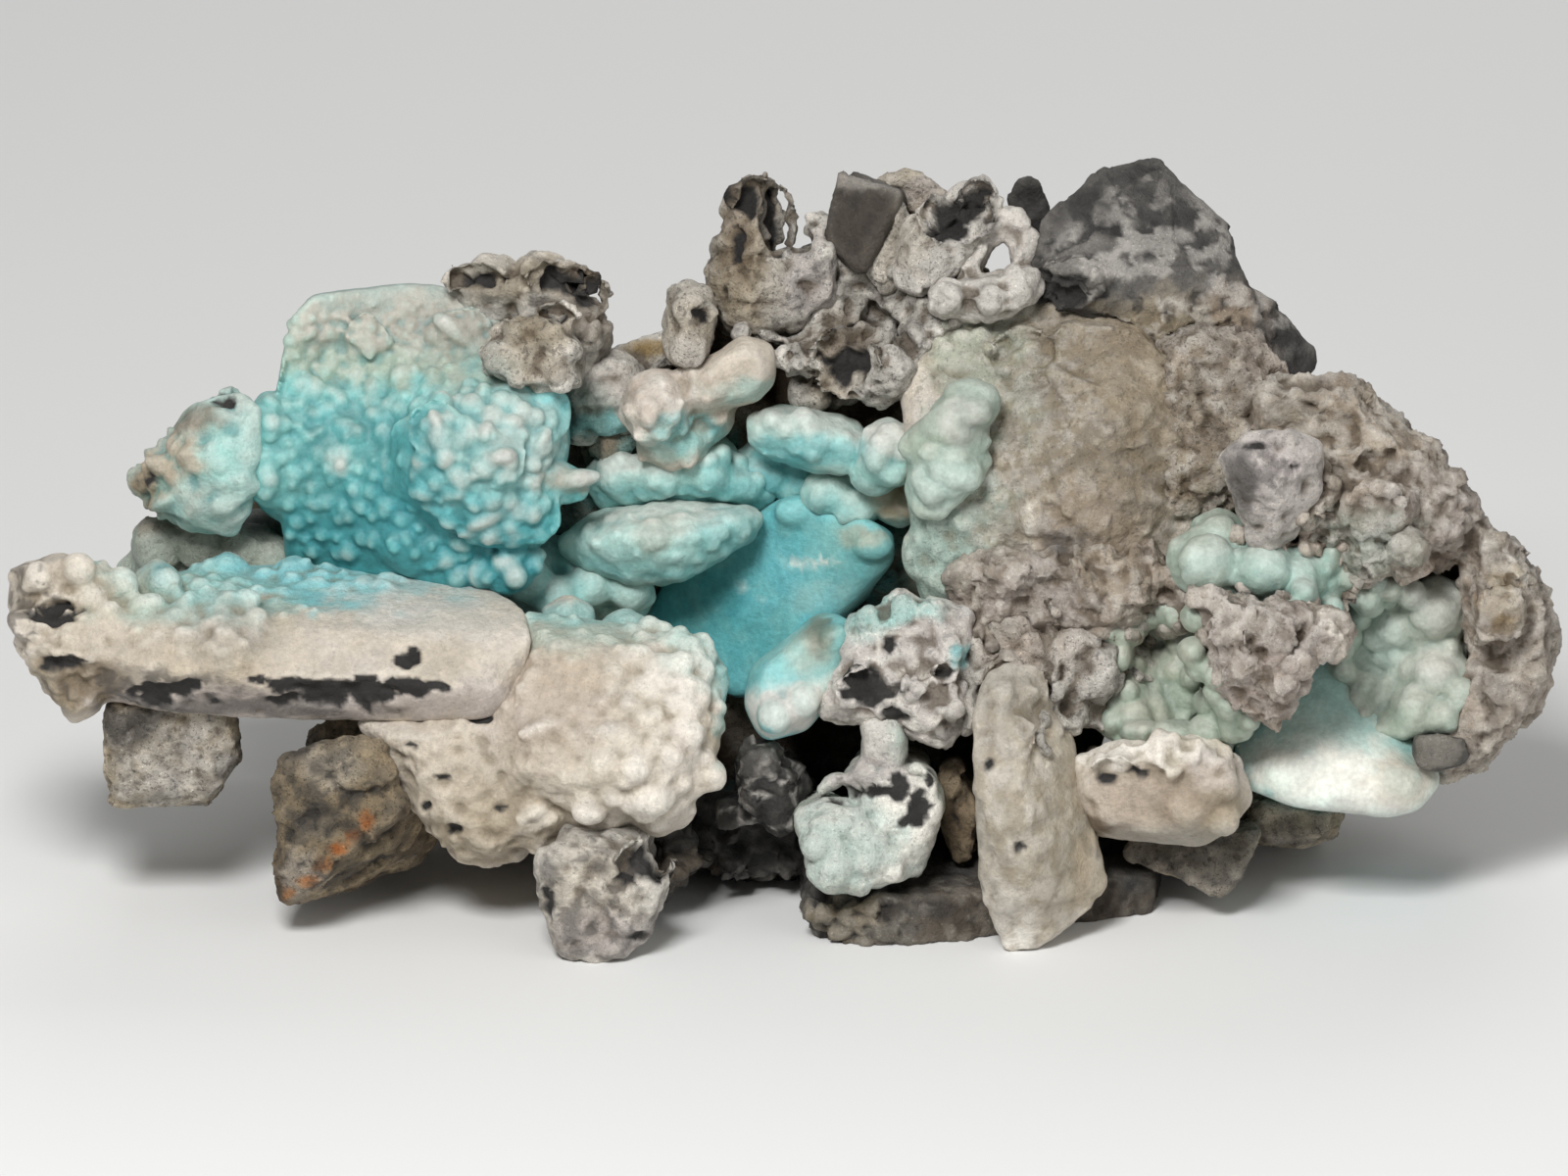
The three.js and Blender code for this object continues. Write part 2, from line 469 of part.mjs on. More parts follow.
// Top: broken shells and dark fragments along the skyline
function skyline() {
  return [
    {
      name: 'spire',
      look: 'brown_rock',
      shapes: [
        chip([-9.9, 88.8, 42], [-7.4, 93.5, 43], [-6.5, 98.2, 44], [-4.1, 99.6, 44], [-2.3, 100.9, 45],
          [-1.5, 99.9, 46], [-3, 92, 40], [-4, 84, 38], [-3.9, 80.6, 40], [-7, 81.3, 41],
          [-9.3, 85.3, 42], [-8, 91, 50], [-3, 97, 49], [-8, 80, 56], [-3, 80, 56]),
        chip([-2.6, 99, 46], [-1.2, 100, 46], [-0.1, 98.2, 46], [-0.5, 93, 47], [-1.2, 90, 46],
          [-2.6, 90, 50], [-1, 98, 49]),
        chip([-3.4, 91, 41], [1, 91.4, 42], [2.5, 89.6, 41], [3.6, 84, 40], [2.5, 81.2, 41],
          [-3.8, 80.6, 39.6], [-3.4, 86, 38.6], [0.4, 86, 38.4], [-3, 86, 54], [2, 86, 54],
          [2, 78, 56]),
        stone([[2.4, 90.6], [4.4, 92.4], [6.6, 91.8], [6.4, 84.4], [4.4, 83.2], [2.6, 86]], 40, 54,
          { bevel: 2 }),
        lump([4.8, 94, 44.6], 2.1, { wide: 1.2 }),
      ],
    },
    {
      name: 'dark_cube',
      look: 'dark_rock',
      shapes: [
        chip([7.1, 100.2, 44], [8.6, 100.5, 44], [14.6, 98.1, 42], [13.1, 94.9, 41], [10, 88.6, 40],
          [5.5, 92.7, 42], [9, 100, 52], [15.6, 98, 52], [7, 89, 54], [14, 86, 54]),
      ],
    },
    {
      name: 'crust_fold',
      look: 'tan_rock',
      shapes: [
        chip([10.4, 88.2, 41], [13.4, 94.6, 42], [15, 97.6, 43], [15.4, 92, 42], [16.8, 88.6, 42],
          [13, 85.4, 42], [10, 90, 54], [16, 94, 54], [15, 87, 54]),
      ],
    },
    {
      name: 'hindmost_shard',
      look: 'tan_rock',
      shapes: [
        chip([11.6, 99.6, 50], [15.6, 101.2, 50], [20.6, 98.4, 50], [19, 95, 50], [14.8, 96.8, 50],
          [12, 99, 66], [21, 97, 66], [16, 90, 66]),
      ],
    },
    {
      name: 'crusted_shard',
      look: 'tan_rock',
      shapes: [
        chip([14.3, 86.7, 38], [14.6, 90, 40], [15.4, 94.9, 42], [22.6, 98.8, 43], [25.5, 100.8, 44],
          [27.8, 97.9, 44], [27.4, 95.8, 42], [24.3, 93.2, 39], [21, 87.3, 37], [17, 85.6, 36],
          [17, 92, 37.4], [22, 95.4, 39], [18, 84, 54], [26, 95, 50], [16, 91, 52]),
      ],
    },
    {
      name: 'arch_shell',
      look: 'grey_crust',
      shapes: [
        chip([22.4, 87.4, 38], [24.6, 89, 38], [26.2, 92.4, 40], [24.6, 93, 41], [22, 88, 46],
          [26, 91, 48], [21.6, 85.4, 40], [23.6, 85.6, 44]),
        chip([24.8, 92.6, 40], [27.6, 96.6, 42], [29.4, 96, 42], [29, 93.6, 42], [27, 91.8, 42],
          [25.6, 91.4, 47], [29, 95, 48]),
        chip([28.2, 96.4, 42], [29.8, 96, 42], [33, 91.6, 42], [31.4, 88.2, 41], [29.4, 88.4, 41],
          [28.8, 92, 42], [28.8, 95, 48], [32.6, 91.6, 48], [30, 88.6, 48]),
        stone([[20.4, 86.6], [28.8, 87], [32, 88.6], [33, 85.6], [30, 81.6], [23, 81.2], [18.6, 83]],
          34, 60, { bevel: 3 }),
        ...lumps([20.8, 84.6, 35, 2.8], [26, 84.4, 34.6, 3]),
      ],
    },
    {
      name: 'dark_blade',
      look: 'dark_rock',
      shapes: [
        chip([28.8, 97.6, 50], [29.6, 100, 50], [31.2, 100.8, 50], [32.8, 99.8, 50], [34, 95, 49],
          [33, 90.6, 48], [30, 92, 50], [30, 99, 54], [33, 97, 55], [31, 84, 62], [34, 86, 62]),
      ],
    },
    {
      name: 'peak',
      look: 'dark_rock',
      shapes: [
        chip([33.8, 95.6, 42], [36.1, 96.6, 42], [40.6, 101.1, 44], [45.4, 102.5, 46], [47.4, 102, 47],
          [52.1, 97, 45], [55.9, 93.9, 43], [56.9, 89.4, 40], [58.8, 86.3, 38], [61, 78, 36],
          [50, 79, 33], [38, 83.4, 34], [31.6, 84.6, 37], [31.2, 88.4, 39], [44, 94, 38], [50, 90, 36],
          [36, 92, 60], [44, 97, 56], [54, 88, 60], [32, 82, 62], [60, 76, 62]),
        chip([56, 88, 42], [63.3, 82.9, 43], [67.3, 78.2, 42], [67.3, 76.6, 42], [64, 73, 38],
          [58, 74, 35], [58, 84, 58], [65, 76, 58], [60, 70, 60]),
        lump([37.6, 87.4, 38], 3.4, { wide: 1.7, tall: 0.9 }),
      ],
    },
    {
      name: 'open_vug_stone',
      look: 'brown_rock',
      shapes: [
        chip([3.4, 77.6, 34], [6, 80.2, 34], [9.6, 79, 33], [9.8, 75.4, 32], [8, 72.4, 32],
          [5.4, 73.6, 33], [4, 78, 42], [10, 79, 42], [7, 73, 42]),
        stone([[10, 78.6], [13.4, 80.4], [17.2, 76.8], [16.8, 73.4], [13, 71.2], [9.4, 71.6]], 30, 54,
          { bevel: 3.2 }),
        lump([13.4, 75.6, 31.6], 3.2),
        ...lumps([3.6, 78, 41, 3], [3.4, 72.6, 41, 2.8]),
        chip([2, 80, 44], [14, 84, 46], [14, 74, 42], [2, 70.6, 43], [4, 84, 62], [15, 84, 62],
          [14, 72, 58], [3, 72, 58]),
      ],
    },
  ];
}

// Right side: the olive face, the rough arc around the pale blue pocket, and what hangs in front of it
function rightSide() {
  return [
    {
      name: 'hanging_crust',
      look: 'grey_crust',
      shapes: [
        stone([[51.6, 46.3], [53.3, 48.6], [64.6, 44.4], [64.8, 34.4], [62.4, 29.6], [55.1, 35.1]],
          5, 26, { bevel: 3, face: 0.66 }),
        chip([63, 44.8, 8], [67.1, 44.6, 9], [70.8, 45.8, 10], [71.9, 42.8, 10], [69.9, 39.1, 9],
          [66.8, 40.2, 8], [63, 41, 8], [65, 44, 16], [70, 43, 15]),
        ...shards(283, [57.8, 43.6, 6.4, 6.4], [62, 38.2, 6.4, 6.4], [61.4, 33.4, 8, 4.6]),
      ],
    },
    {
      name: 'cone_stone',
      look: 'grey_crust',
      shapes: [
        chip([55.1, 64.6, 13], [58, 67.4, 13], [63.5, 67.9, 13], [67.5, 66.3, 14], [67.1, 60.6, 15],
          [64.4, 54.6, 16], [61.1, 52.4, 16], [59.1, 52.8, 16], [57.6, 57, 15], [56, 61.9, 14],
          [60, 62, 10], [63.6, 62, 10.4], [61.2, 55, 12.6], [57, 64, 34], [68, 64, 34], [60, 55, 30],
          [66, 56, 30]),
      ],
    },
    {
      name: 'pocket_crust',
      look: 'turquoise_crust',
      shapes: [
        stone([[48.4, 53.4], [56, 56], [64, 54.6], [68, 51], [67.4, 46.4], [60, 44.6], [50, 45.6]],
          22, 46, { bevel: 4 }),
        lump([53.2, 51.2, 20], 4.3, { wide: 1.1 }),
        lump([60.6, 50.4, 18.6], 4.2, { wide: 1.1 }),
        lump([65.2, 49.4, 20], 3.8),
        lump([59, 47, 19.6], 3.4),
        lump([55.2, 55, 24], 2.9, { wide: 1.2 }),
        chip([42, 30, 22], [43, 40, 32], [48, 47, 38], [58, 48, 40], [64, 44, 40], [60, 30, 28],
          [54, 26, 22], [46, 26, 20], [44, 32, 56], [62, 46, 58], [60, 28, 54]),
        ...lumps([45.2, 37.4, 28, 3.9], [44.8, 31.8, 20.8, 3.8], [51.6, 34.2, 24, 4.2],
          [55.4, 31, 21.6, 3.8], [57, 37.6, 28.6, 4.2]),
      ],
    },
    {
      name: 'cream_pillar',
      look: 'turquoise_crust',
      shapes: [
        lump([20.6, 64.6, 22.8], 5.2, { tall: 1.2 }),
        lump([22.2, 69, 23.6], 3.6),
        lump([23.8, 71.4, 23.4], 3.2, { wide: 1.15, tall: 0.95 }),
        lump([18.6, 60.6, 24], 3),
      ],
    },
    {
      name: 'olive_face',
      look: 'grey_crust',
      shapes: [
        chip([16.6, 68, 28], [17, 57, 27], [18.6, 46.6, 24], [28, 44, 21], [40, 46, 22], [50, 50, 24],
          [54, 60, 26], [55, 70, 31], [44, 80, 35], [34, 84.6, 37], [24, 82.6, 36], [16, 78, 36],
          [26, 60, 23.4], [38, 60, 22], [46, 66, 25], [30, 74, 27], [18, 66, 60], [20, 50, 58],
          [52, 52, 60], [54, 70, 62], [30, 82, 62]),
        chip([35.5, 81, 31], [45, 79, 30], [49.3, 73.6, 28], [46, 68.4, 23.6], [40, 66.4, 21],
          [37, 64.5, 20.6], [35, 66, 22], [34.6, 74, 26], [36, 80, 38], [48, 74, 36], [40, 66, 32]),
        ...lumps([19, 52.6, 25, 3.6], [30.4, 76.6, 29.6, 4], [22.2, 77.4, 33, 4], [33, 55.4, 21, 3.2],
          [43, 61.6, 22.8, 3.4]),
      ],
    },
    {
      name: 'sparkling_crust',
      look: 'tan_rock',
      shapes: [
        stone([[47, 79.6], [52.6, 82], [58, 80.6], [63, 76.4], [64, 69], [59, 63], [55.4, 56], [47, 55],
          [45.6, 64], [49.6, 72.6]], 26, 58, { bevel: 4, lean: 0.3 }),
        ...shards(257, [52, 78, 31, 7], [59, 75, 31, 7], [54, 66, 27.4, 7]),
      ],
    },
    {
      name: 'rubble_arc',
      look: 'grey_crust',
      shapes: [
        stone([[59, 74.8], [71, 74.8], [79.5, 69], [76, 62], [68, 57], [60, 55], [57, 64]], 23, 54,
          { bevel: 5 }),
        stone([[73, 71], [83.1, 66.3], [89.4, 56.3], [85, 51], [76, 49.6], [69.4, 52.6], [67.6, 58],
          [69, 64]], 21, 54, { bevel: 5 }),
        stone([[70.6, 61], [76.4, 62.6], [80.6, 60], [78, 55.4], [72, 52.6], [69, 56]], 16.5, 34,
          { bevel: 3.6 }),
        ...shards(263, [66, 71.6, 26, 8], [76, 67.6, 24.6, 7], [83, 60.4, 23.6, 7],
          [72, 65, 22.6, 6.6]),
        ...lumps([73.6, 52.2, 21, 3.9], [79.4, 52.8, 21, 4]),
        stone([[88, 57], [93, 53.7], [98.4, 43.5], [97.9, 38.4], [92, 36], [86.4, 40.6], [85.4, 48]],
          21, 52, { bevel: 5 }),
        stone([[87.6, 40], [97.9, 39.6], [95.5, 33.1], [88.6, 25.6], [84, 23.4], [81.4, 25], [85, 31]],
          20, 48, { bevel: 4 }),
        chip([88, 49, 18], [93.4, 47.4, 18], [93, 42, 18], [87.6, 41.4, 18], [89, 50, 28], [95, 46, 28],
          [88, 40, 26]),
        ...shards(277, [91, 52.6, 24, 7], [92.6, 35, 23.4, 6.6], [87, 28.6, 22.4, 6]),
      ],
    },
    {
      name: 'pocket_boulders',
      look: 'turquoise_crust',
      shapes: [
        lump([77.4, 43, 30], 3.9),
        lump([82.6, 44.8, 28], 4.4),
        lump([82.6, 37.2, 26], 4.3, { tall: 0.9 }),
        lump([80, 32.6, 22.4], 3, { tall: 1.05 }),
        lump([83.8, 31.6, 22], 2.2),
        lump([86.2, 34.8, 22.6], 2.1),
        chip([75, 45, 34], [86, 48, 32], [86, 34, 28], [79, 34, 30], [76, 44, 52], [86, 46, 52],
          [84, 34, 48]),
      ],
    },
    {
      name: 'dark_chip',
      look: 'dark_rock',
      shapes: [
        chip([80, 29, 16], [83, 29.6, 15], [86.3, 29, 16], [86.2, 26.4, 16], [83, 25.4, 15],
          [80.8, 26, 15.6], [80, 29, 28], [87, 29, 28], [82, 26, 28]),
      ],
    },
    {
      name: 'pale_pocket_slab',
      look: 'turquoise_crust',
      shapes: [
        chip([57.6, 24, 20], [58, 31, 24], [64, 40, 32], [72.4, 44.3, 36], [76.3, 39.5, 34],
          [77.4, 31.5, 26], [81.1, 26, 21], [83.1, 23.6, 19], [80.3, 20.2, 16], [77.1, 19.4, 14],
          [69.9, 20.4, 13.6], [64.8, 21.1, 15], [60.4, 22.8, 17], [66, 27, 16], [75, 25, 15.6],
          [60, 26, 48], [72, 42, 54], [82, 28, 48], [72, 24, 44]),
        lump([65, 24.4, 17.6], 3.4, { wide: 1.4 }),
        lump([76.6, 23, 17], 3.2, { wide: 1.5 }),
      ],
    },
  ];
}

// The cemented rock behind, which carries every fragment and stands flat on the ground
function matrix() {
  return [
    {
      name: 'matrix',
      look: 'grey_rock',
      shapes: [
        stone([[-34, 60], [-10, 71], [14, 74], [30, 80], [34, 60], [34, 24], [20, 16], [-32, 16],
          [-42, 26]], 47, 86, { bevel: 5, face: 0.9, tail: 0.72 }),
        chip([-60, 46, 52], [-58, 72, 54], [-46, 82, 56], [-30, 80, 56], [-22, 76, 54], [-22, 60, 50],
          [-30, 50, 50], [-34, 26, 44], [-50, 26, 44], [-56, 56, 78], [-34, 68, 82], [-30, 44, 80],
          [-46, 36, 74]),
        chip([-78, 50, 54], [-76, 57, 54], [-58, 60, 52], [-56, 40, 48], [-74, 40, 50], [-66, 56, 68],
          [-54, 44, 66]),
        chip([28, 78, 50], [44, 96, 56], [56, 88, 54], [66, 70, 46], [62, 40, 44], [34, 24, 44],
          [32, 66, 80], [46, 86, 76], [62, 66, 78], [60, 42, 72], [36, 34, 76]),
        chip([56, 66, 42], [70, 70, 44], [82, 60, 42], [92, 48, 42], [92, 34, 40], [84, 26, 38],
          [66, 20, 38], [54, 24, 40], [62, 60, 70], [80, 54, 64], [84, 38, 60], [64, 32, 64]),
        chip([-34, 17.6, 50], [24, 17.6, 50], [30, 30, 54], [-38, 32, 54], [-30, 27.4, 80],
          [26, 27.4, 80], [22, 40, 84], [-32, 40, 84]),
        chip([-22, 76, 50], [6, 90, 50], [24, 92, 52], [30, 80, 50], [-8, 66, 50], [-18, 66, 54],
          [-10, 74, 70], [20, 86, 72]),
        ...shards(401, [-44, 76, 64, 18], [-60, 60, 60, 15], [-42, 46, 74, 18], [-16, 72, 66, 20],
          [5, 84, 64, 18], [22, 78, 72, 20], [-22, 56, 80, 20], [26, 60, 80, 18], [-26, 42, 82, 16],
          [50, 78, 68, 20], [70, 60, 60, 18], [78, 42, 55, 17]),
      ],
    },
  ];
}

// Blocks that stand out of the far side
function back() {
  return [
    {
      name: 'back_block_left',
      look: 'tan_rock',
      shapes: [
        chip([-58, 62, 66], [-34, 66, 66], [-30, 44, 70], [-54, 40, 68], [-56, 68, 78], [-36, 72, 80],
          [-32, 54, 90], [-50, 50, 88], [-44, 66, 88]),
      ],
    },
    {
      name: 'back_block_middle',
      look: 'dark_rock',
      shapes: [
        chip([-12, 70, 74], [12, 74, 72], [16, 54, 76], [-8, 48, 78], [-8, 72, 86], [8, 74, 88],
          [12, 58, 91], [-4, 56, 92]),
      ],
    },
    {
      name: 'back_block_right',
      look: 'tan_rock',
      shapes: [
        chip([34, 60, 70], [62, 64, 68], [66, 42, 70], [38, 38, 72], [38, 66, 82], [56, 68, 84],
          [60, 50, 88], [42, 48, 88]),
      ],
    },
    {
      name: 'back_block_low',
      look: 'brown_rock',
      shapes: [
        chip([-6, 44, 78], [22, 46, 78], [26, 30, 80], [-8, 30, 80], [0, 44, 90], [18, 44, 90],
          [20, 34, 92], [-2, 34, 92]),
      ],
    },
  ];
}

// Rough colours and sheen of the finishes
const LOOKS = {
  turquoise_crust: { color: 0x7cc4c4, roughness: 0.45 },
  cream_crust: { color: 0xd9d2c2, roughness: 0.6 },
  grey_crust: { color: 0xa9a49c, roughness: 0.75 },
  grey_rock: { color: 0x8a857c, roughness: 0.9 },
  tan_rock: { color: 0xa39479, roughness: 0.9 },
  brown_rock: { color: 0x7d6b52, roughness: 0.9 },
  dark_rock: { color: 0x45423f, roughness: 0.8 },
};

// A closed three.js geometry as a solid that can be joined and cut
function toSolid(geometry) {
  const bare = geometry.index ? geometry.toNonIndexed() : geometry.clone();
  for (const name of Object.keys(bare.attributes)) if (name !== 'position') bare.deleteAttribute(name);
  const merged = mergeVertices(bare, WELD);
  return new wasm.Manifold(
    new wasm.Mesh({
      numProp: 3,
      vertProperties: merged.attributes.position.array,
      triVerts: new Uint32Array(merged.index.array),
    }),
  );
}

function toGeometry(solid) {
  const { vertProperties, triVerts } = solid.getMesh();
  const geometry = new THREE.BufferGeometry();
  geometry.setAttribute('position', new THREE.BufferAttribute(new Float32Array(vertProperties), 3));
  geometry.setIndex(new THREE.BufferAttribute(new Uint32Array(triVerts), 1));
  return geometry;
}

// The shapes of one fragment grown together
const fuse = (shapes, swell) => shapes.map((shape) => toSolid(shape(swell))).reduce((a, b) => a.add(b));

const largest = (solid) => solid.decompose().reduce((a, b) => (a.volume() > b.volume() ? a : b));

// Everything below the ground plane, which the feet are ground flat against
const ground = toSolid(
  new THREE.BoxGeometry(FLOOR_REACH, FLOOR_REACH, FLOOR_REACH).translate(0, 0, -FLOOR_REACH / 2),
);

const touches = (a, b) => {
  const [p, q] = [a.boundingBox(), b.boundingBox()];
  return [0, 1, 2].every((i) => p.min[i] < q.max[i] && q.min[i] < p.max[i]);
};

// The rock comes first, then the fragments from front to back: each is cut clear of all that came before
const fragments = [
  ...matrix(),
  ...rightSide(),
  ...lowerMiddle(),
  ...leftSide(),
  ...cavity(),
  ...skyline(),
  ...back(),
];
const specimen = new THREE.Group();
const placed = [];
for (const { name, look, shapes } of fragments) {
  let solid = fuse(shapes, 0).subtract(ground);
  for (const neighbour of placed) if (touches(solid, neighbour)) solid = solid.subtract(neighbour);
  solid = largest(solid);
  placed.push(fuse(shapes, SEAM));
  const mesh = new THREE.Mesh(
    toGeometry(solid),
    new THREE.MeshStandardMaterial({ ...LOOKS[look], metalness: 0, flatShading: true }),
  );
  mesh.name = name;
  specimen.add(mesh);
}

export default specimen;
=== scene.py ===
"""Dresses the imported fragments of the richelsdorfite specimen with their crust, lumps, chips and colours."""

import json
from math import cos, pi, radians, sin

import bpy
import numpy as np
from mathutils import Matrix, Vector
from mathutils.bvhtree import BVHTree


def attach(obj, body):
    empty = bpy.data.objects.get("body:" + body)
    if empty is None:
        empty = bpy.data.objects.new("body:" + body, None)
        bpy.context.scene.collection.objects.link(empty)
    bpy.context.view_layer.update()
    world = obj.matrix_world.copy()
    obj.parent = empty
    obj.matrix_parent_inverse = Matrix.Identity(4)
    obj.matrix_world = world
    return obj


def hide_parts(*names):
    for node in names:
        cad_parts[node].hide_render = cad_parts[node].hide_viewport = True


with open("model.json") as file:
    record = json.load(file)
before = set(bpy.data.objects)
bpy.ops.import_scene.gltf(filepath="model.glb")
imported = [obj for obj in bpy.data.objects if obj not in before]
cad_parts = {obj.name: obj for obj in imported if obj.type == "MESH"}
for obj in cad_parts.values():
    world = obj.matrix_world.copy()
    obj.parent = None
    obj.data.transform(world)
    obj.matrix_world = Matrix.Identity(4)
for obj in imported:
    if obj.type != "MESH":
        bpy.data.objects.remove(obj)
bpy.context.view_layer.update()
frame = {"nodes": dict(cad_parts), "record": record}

# The frame of the sizes. Shapes are worked out in millimetres, and places on the front are given as the
# camera sees them: across to the right of the middle, and up from the lowest point in view. Rays start far
# in front of the specimen, and where one meets nothing the surface counts as far behind it.
MM = 0.001
MIDDLE_ACROSS = 0.1
MIDDLE_BACK = 46.7
SIGHT = radians(20)
LOOK = np.array([0.0, cos(SIGHT), -sin(SIGHT)])
RISE = np.array([0.0, sin(SIGHT), cos(SIGHT)])
SIDE = np.array([1.0, 0.0, 0.0])
FAR_IN_FRONT = 200.0
FAR_BEHIND = 900.0

GRAIN = 0.5
COARSE_GRAIN = 0.85
QUICK_FACTOR = 1.0
KEPT_SHARE = 0.57
EVENING = 0.5

# The coat of crust on every solid, before its lumps: a thickness, and what each round of evening adds to it
# because the evening shrinks the solid by about as much.
COAT = 0.3
COAT_FOR_SOFTENING = 0.025

# Lumps. A middle lies below the surface by a share of the radius. Scattered lumps stand in staggered lines,
# each shifted by up to a share of the spacing and stretched by a factor between two limits. Their sizes lean
# towards the smallest.
PLAIN_BALL = (1, 1, 1, 0)
PLACED_SINK = 0.1
STUD_SINK = 0.22
STUD_SHIFT = 0.36
STUD_STRETCH = (0.8, 1.45)
STUD_LEANING = 1.6
LINE_SPACING = 0.9
PLUG_DEPTH = 2

# Lumps that fill the gaps between fragments. The front is a low quantile of the depths over this many grid
# steps around, within a circle. A gap is where the surface lies further back than the clearance, and not at
# the specimen's outline, where the high quantile of the depths finds nothing.
GAP_WINDOW = 4
GAP_CIRCLE = 13
GAP_QUANTILE = 0.3
OUTLINE_QUANTILE = 0.9
GAP_CLEARANCE = 1.0
FILL_SHIFT = 0.3
FILL_SIZES = (0.75, 1.25)
FILL_DEPTH = 2.2

# A broken rim of crust: degrees between its stations, the least share of its height, how much the height and
# the way round vary, its lean outwards and the half thickness of its edge as shares, and its root's depth.
RIM_STATION = 9
FEWEST_STATIONS = 6
RIM_LEAST = 0.45
RIM_JAG = 0.75
RIM_WANDER = 0.12
RIM_LEAN = 0.35
RIM_EDGE = 0.3
RIM_ROOT = 1.6

# Forms pressed flat: the ramp by how far a point faces the camera, the oval's blurred border as a share, and
# the least weight that counts.
FACING_FOR_PRESSES = (0.1, 0.5)
PRESS_BORDER = 0.25
LEAST_WEIGHT = 0.02

# Seeds are spaced so that no two patterns share one.
FIRST_SEED = 100
PIECE_SEEDS = 211
RELIEF_SEEDS = 31
SPECK_SEEDS = 19
OCTAVE_SEEDS = 17
STAIN_SEEDS = 13
CHIP_SEEDS = 7

# A lattice cell's random number is made from its three indices and the seed, each multiplied and mixed.
INDEX_FACTORS = (73856093, 19349663, 83492791)
SEED_FACTOR = 2654435
MIXING_FACTORS = (0x2C1B3C6D, 0x297A2D39)
WORD = 2 ** 32
FRACTION_STEPS = 2 ** 24

# Waves in one pattern fall to this share of the height from one to the next, and their sum has this span.
WAVE_FALL = 0.55
WAVE_SPAN = 1.6

# How far the points of lumps and crumbs lie off the middle of their cells, and the lumps' radii, in cells.
BALL_SHIFT = 0.7
BALL_LEAST = 0.42
BALL_SPREAD = 0.23
CRUMB_SHIFT = 0.75

# Colours of the crusts and of the rock, as they look in daylight.
COLOURS = {
    "turquoise": (0.38, 0.67, 0.68),
    "sky": (0.45, 0.74, 0.77),
    "teal": (0.36, 0.61, 0.60),
    "deep_blue": (0.20, 0.52, 0.55),
    "aqua": (0.58, 0.76, 0.73),
    "pale_aqua": (0.72, 0.80, 0.77),
    "sea_grey": (0.56, 0.64, 0.60),
    "green_grey": (0.62, 0.67, 0.60),
    "cream": (0.84, 0.81, 0.78),
    "ivory": (0.93, 0.91, 0.87),
    "dust": (0.79, 0.77, 0.74),
    "lilac": (0.68, 0.64, 0.63),
    "ash": (0.57, 0.55, 0.51),
    "buff": (0.70, 0.65, 0.57),
    "rose_tan": (0.66, 0.59, 0.53),
    "tan": (0.54, 0.48, 0.38),
    "olive": (0.46, 0.42, 0.36),
    "amber": (0.52, 0.42, 0.24),
    "brown": (0.34, 0.28, 0.21),
    "rust": (0.66, 0.36, 0.14),
    "slate": (0.22, 0.21, 0.20),
    "charcoal": (0.12, 0.115, 0.11),
}


# Random numbers on lattices

def stir(number):
    """Whole numbers folded on themselves and multiplied, so that neighbours no longer look alike."""
    number = number ^ (number >> np.uint32(15))
    number = number * np.uint32(MIXING_FACTORS[0])
    number = number ^ (number >> np.uint32(12))
    number = number * np.uint32(MIXING_FACTORS[1])
    return number ^ (number >> np.uint32(15))


def draw(column, row, layer, seed):
    """One random whole number for each lattice cell, from its three indices and the seed."""
    one, two, three = (np.uint32(factor) for factor in INDEX_FACTORS)
    mixed = column * one ^ row * two ^ layer * three
    return stir(mixed + np.uint32(seed * SEED_FACTOR % WORD))


def fraction(number):
    """A whole random number as a fraction from 0 to 1."""
    return (number >> np.uint32(8)).astype(np.float32) / np.float32(FRACTION_STEPS)


def cells(place, size, shift):
    """The lattice cell of every place as three whole indices, and how far into the cell the place is."""
    spot = (place / size - shift).astype(np.float32)
    base = np.floor(spot)
    return base.astype(np.int64).astype(np.uint32), spot - base


CORNERS = [(a, b, c) for a in (0, 1) for b in (0, 1) for c in (0, 1)]


def swell(place, size, seed):
    """Smooth random waves from -1 to 1: the values of the cell's eight corners, blended by 3t^2 - 2t^3."""
    cell, part = cells(place, size, 0.0)
    part = part * part * (3 - 2 * part)
    total = np.zeros(len(place), np.float32)
    for corner in CORNERS:
        weight = np.ones(len(place), np.float32)
        for axis in range(3):
            weight *= part[:, axis] if corner[axis] else 1 - part[:, axis]
        number = draw(*(cell[:, axis] + np.uint32(corner[axis]) for axis in range(3)), seed)
        total += weight * fraction(number)
    return 2 * total - 1


def rough(place, size, seed, octaves=4):
    """Waves added up, each half as long as the one before and lower, from about -1 to 1."""
    total = 0.0
    height = 1.0
    for octave in range(octaves):
        total = total + height * swell(place, size / 2 ** octave, seed + OCTAVE_SEEDS * octave)
        height *= WAVE_FALL
    return total / WAVE_SPAN


def balls(place, size, seed):
    """Grown lumps: each lattice cell holds a ball off its middle, and the surface rises over it by
    sqrt(r^2 - d^2), the highest ball winning. Gives that height in cells, and a random tone for each."""
    cell, part = cells(place, size, 0.5)
    best = np.zeros(len(place), np.float32)
    tone = np.full(len(place), 0.5, np.float32)
    for corner in CORNERS:
        number = draw(*(cell[:, axis] + np.uint32(corner[axis]) for axis in range(3)), seed)
        gap = np.zeros(len(place), np.float32)
        for axis in range(3):
            number = stir(number + np.uint32(axis + 1))
            gap += (part[:, axis] - corner[axis] - BALL_SHIFT * (fraction(number) - 0.5)) ** 2
        number = stir(number + np.uint32(9))
        reach = BALL_LEAST + BALL_SPREAD * fraction(number)
        height = reach * reach - gap
        wins = height > best
        best = np.where(wins, height, best)
        tone = np.where(wins, fraction(stir(number)), tone)
    return np.sqrt(best), tone


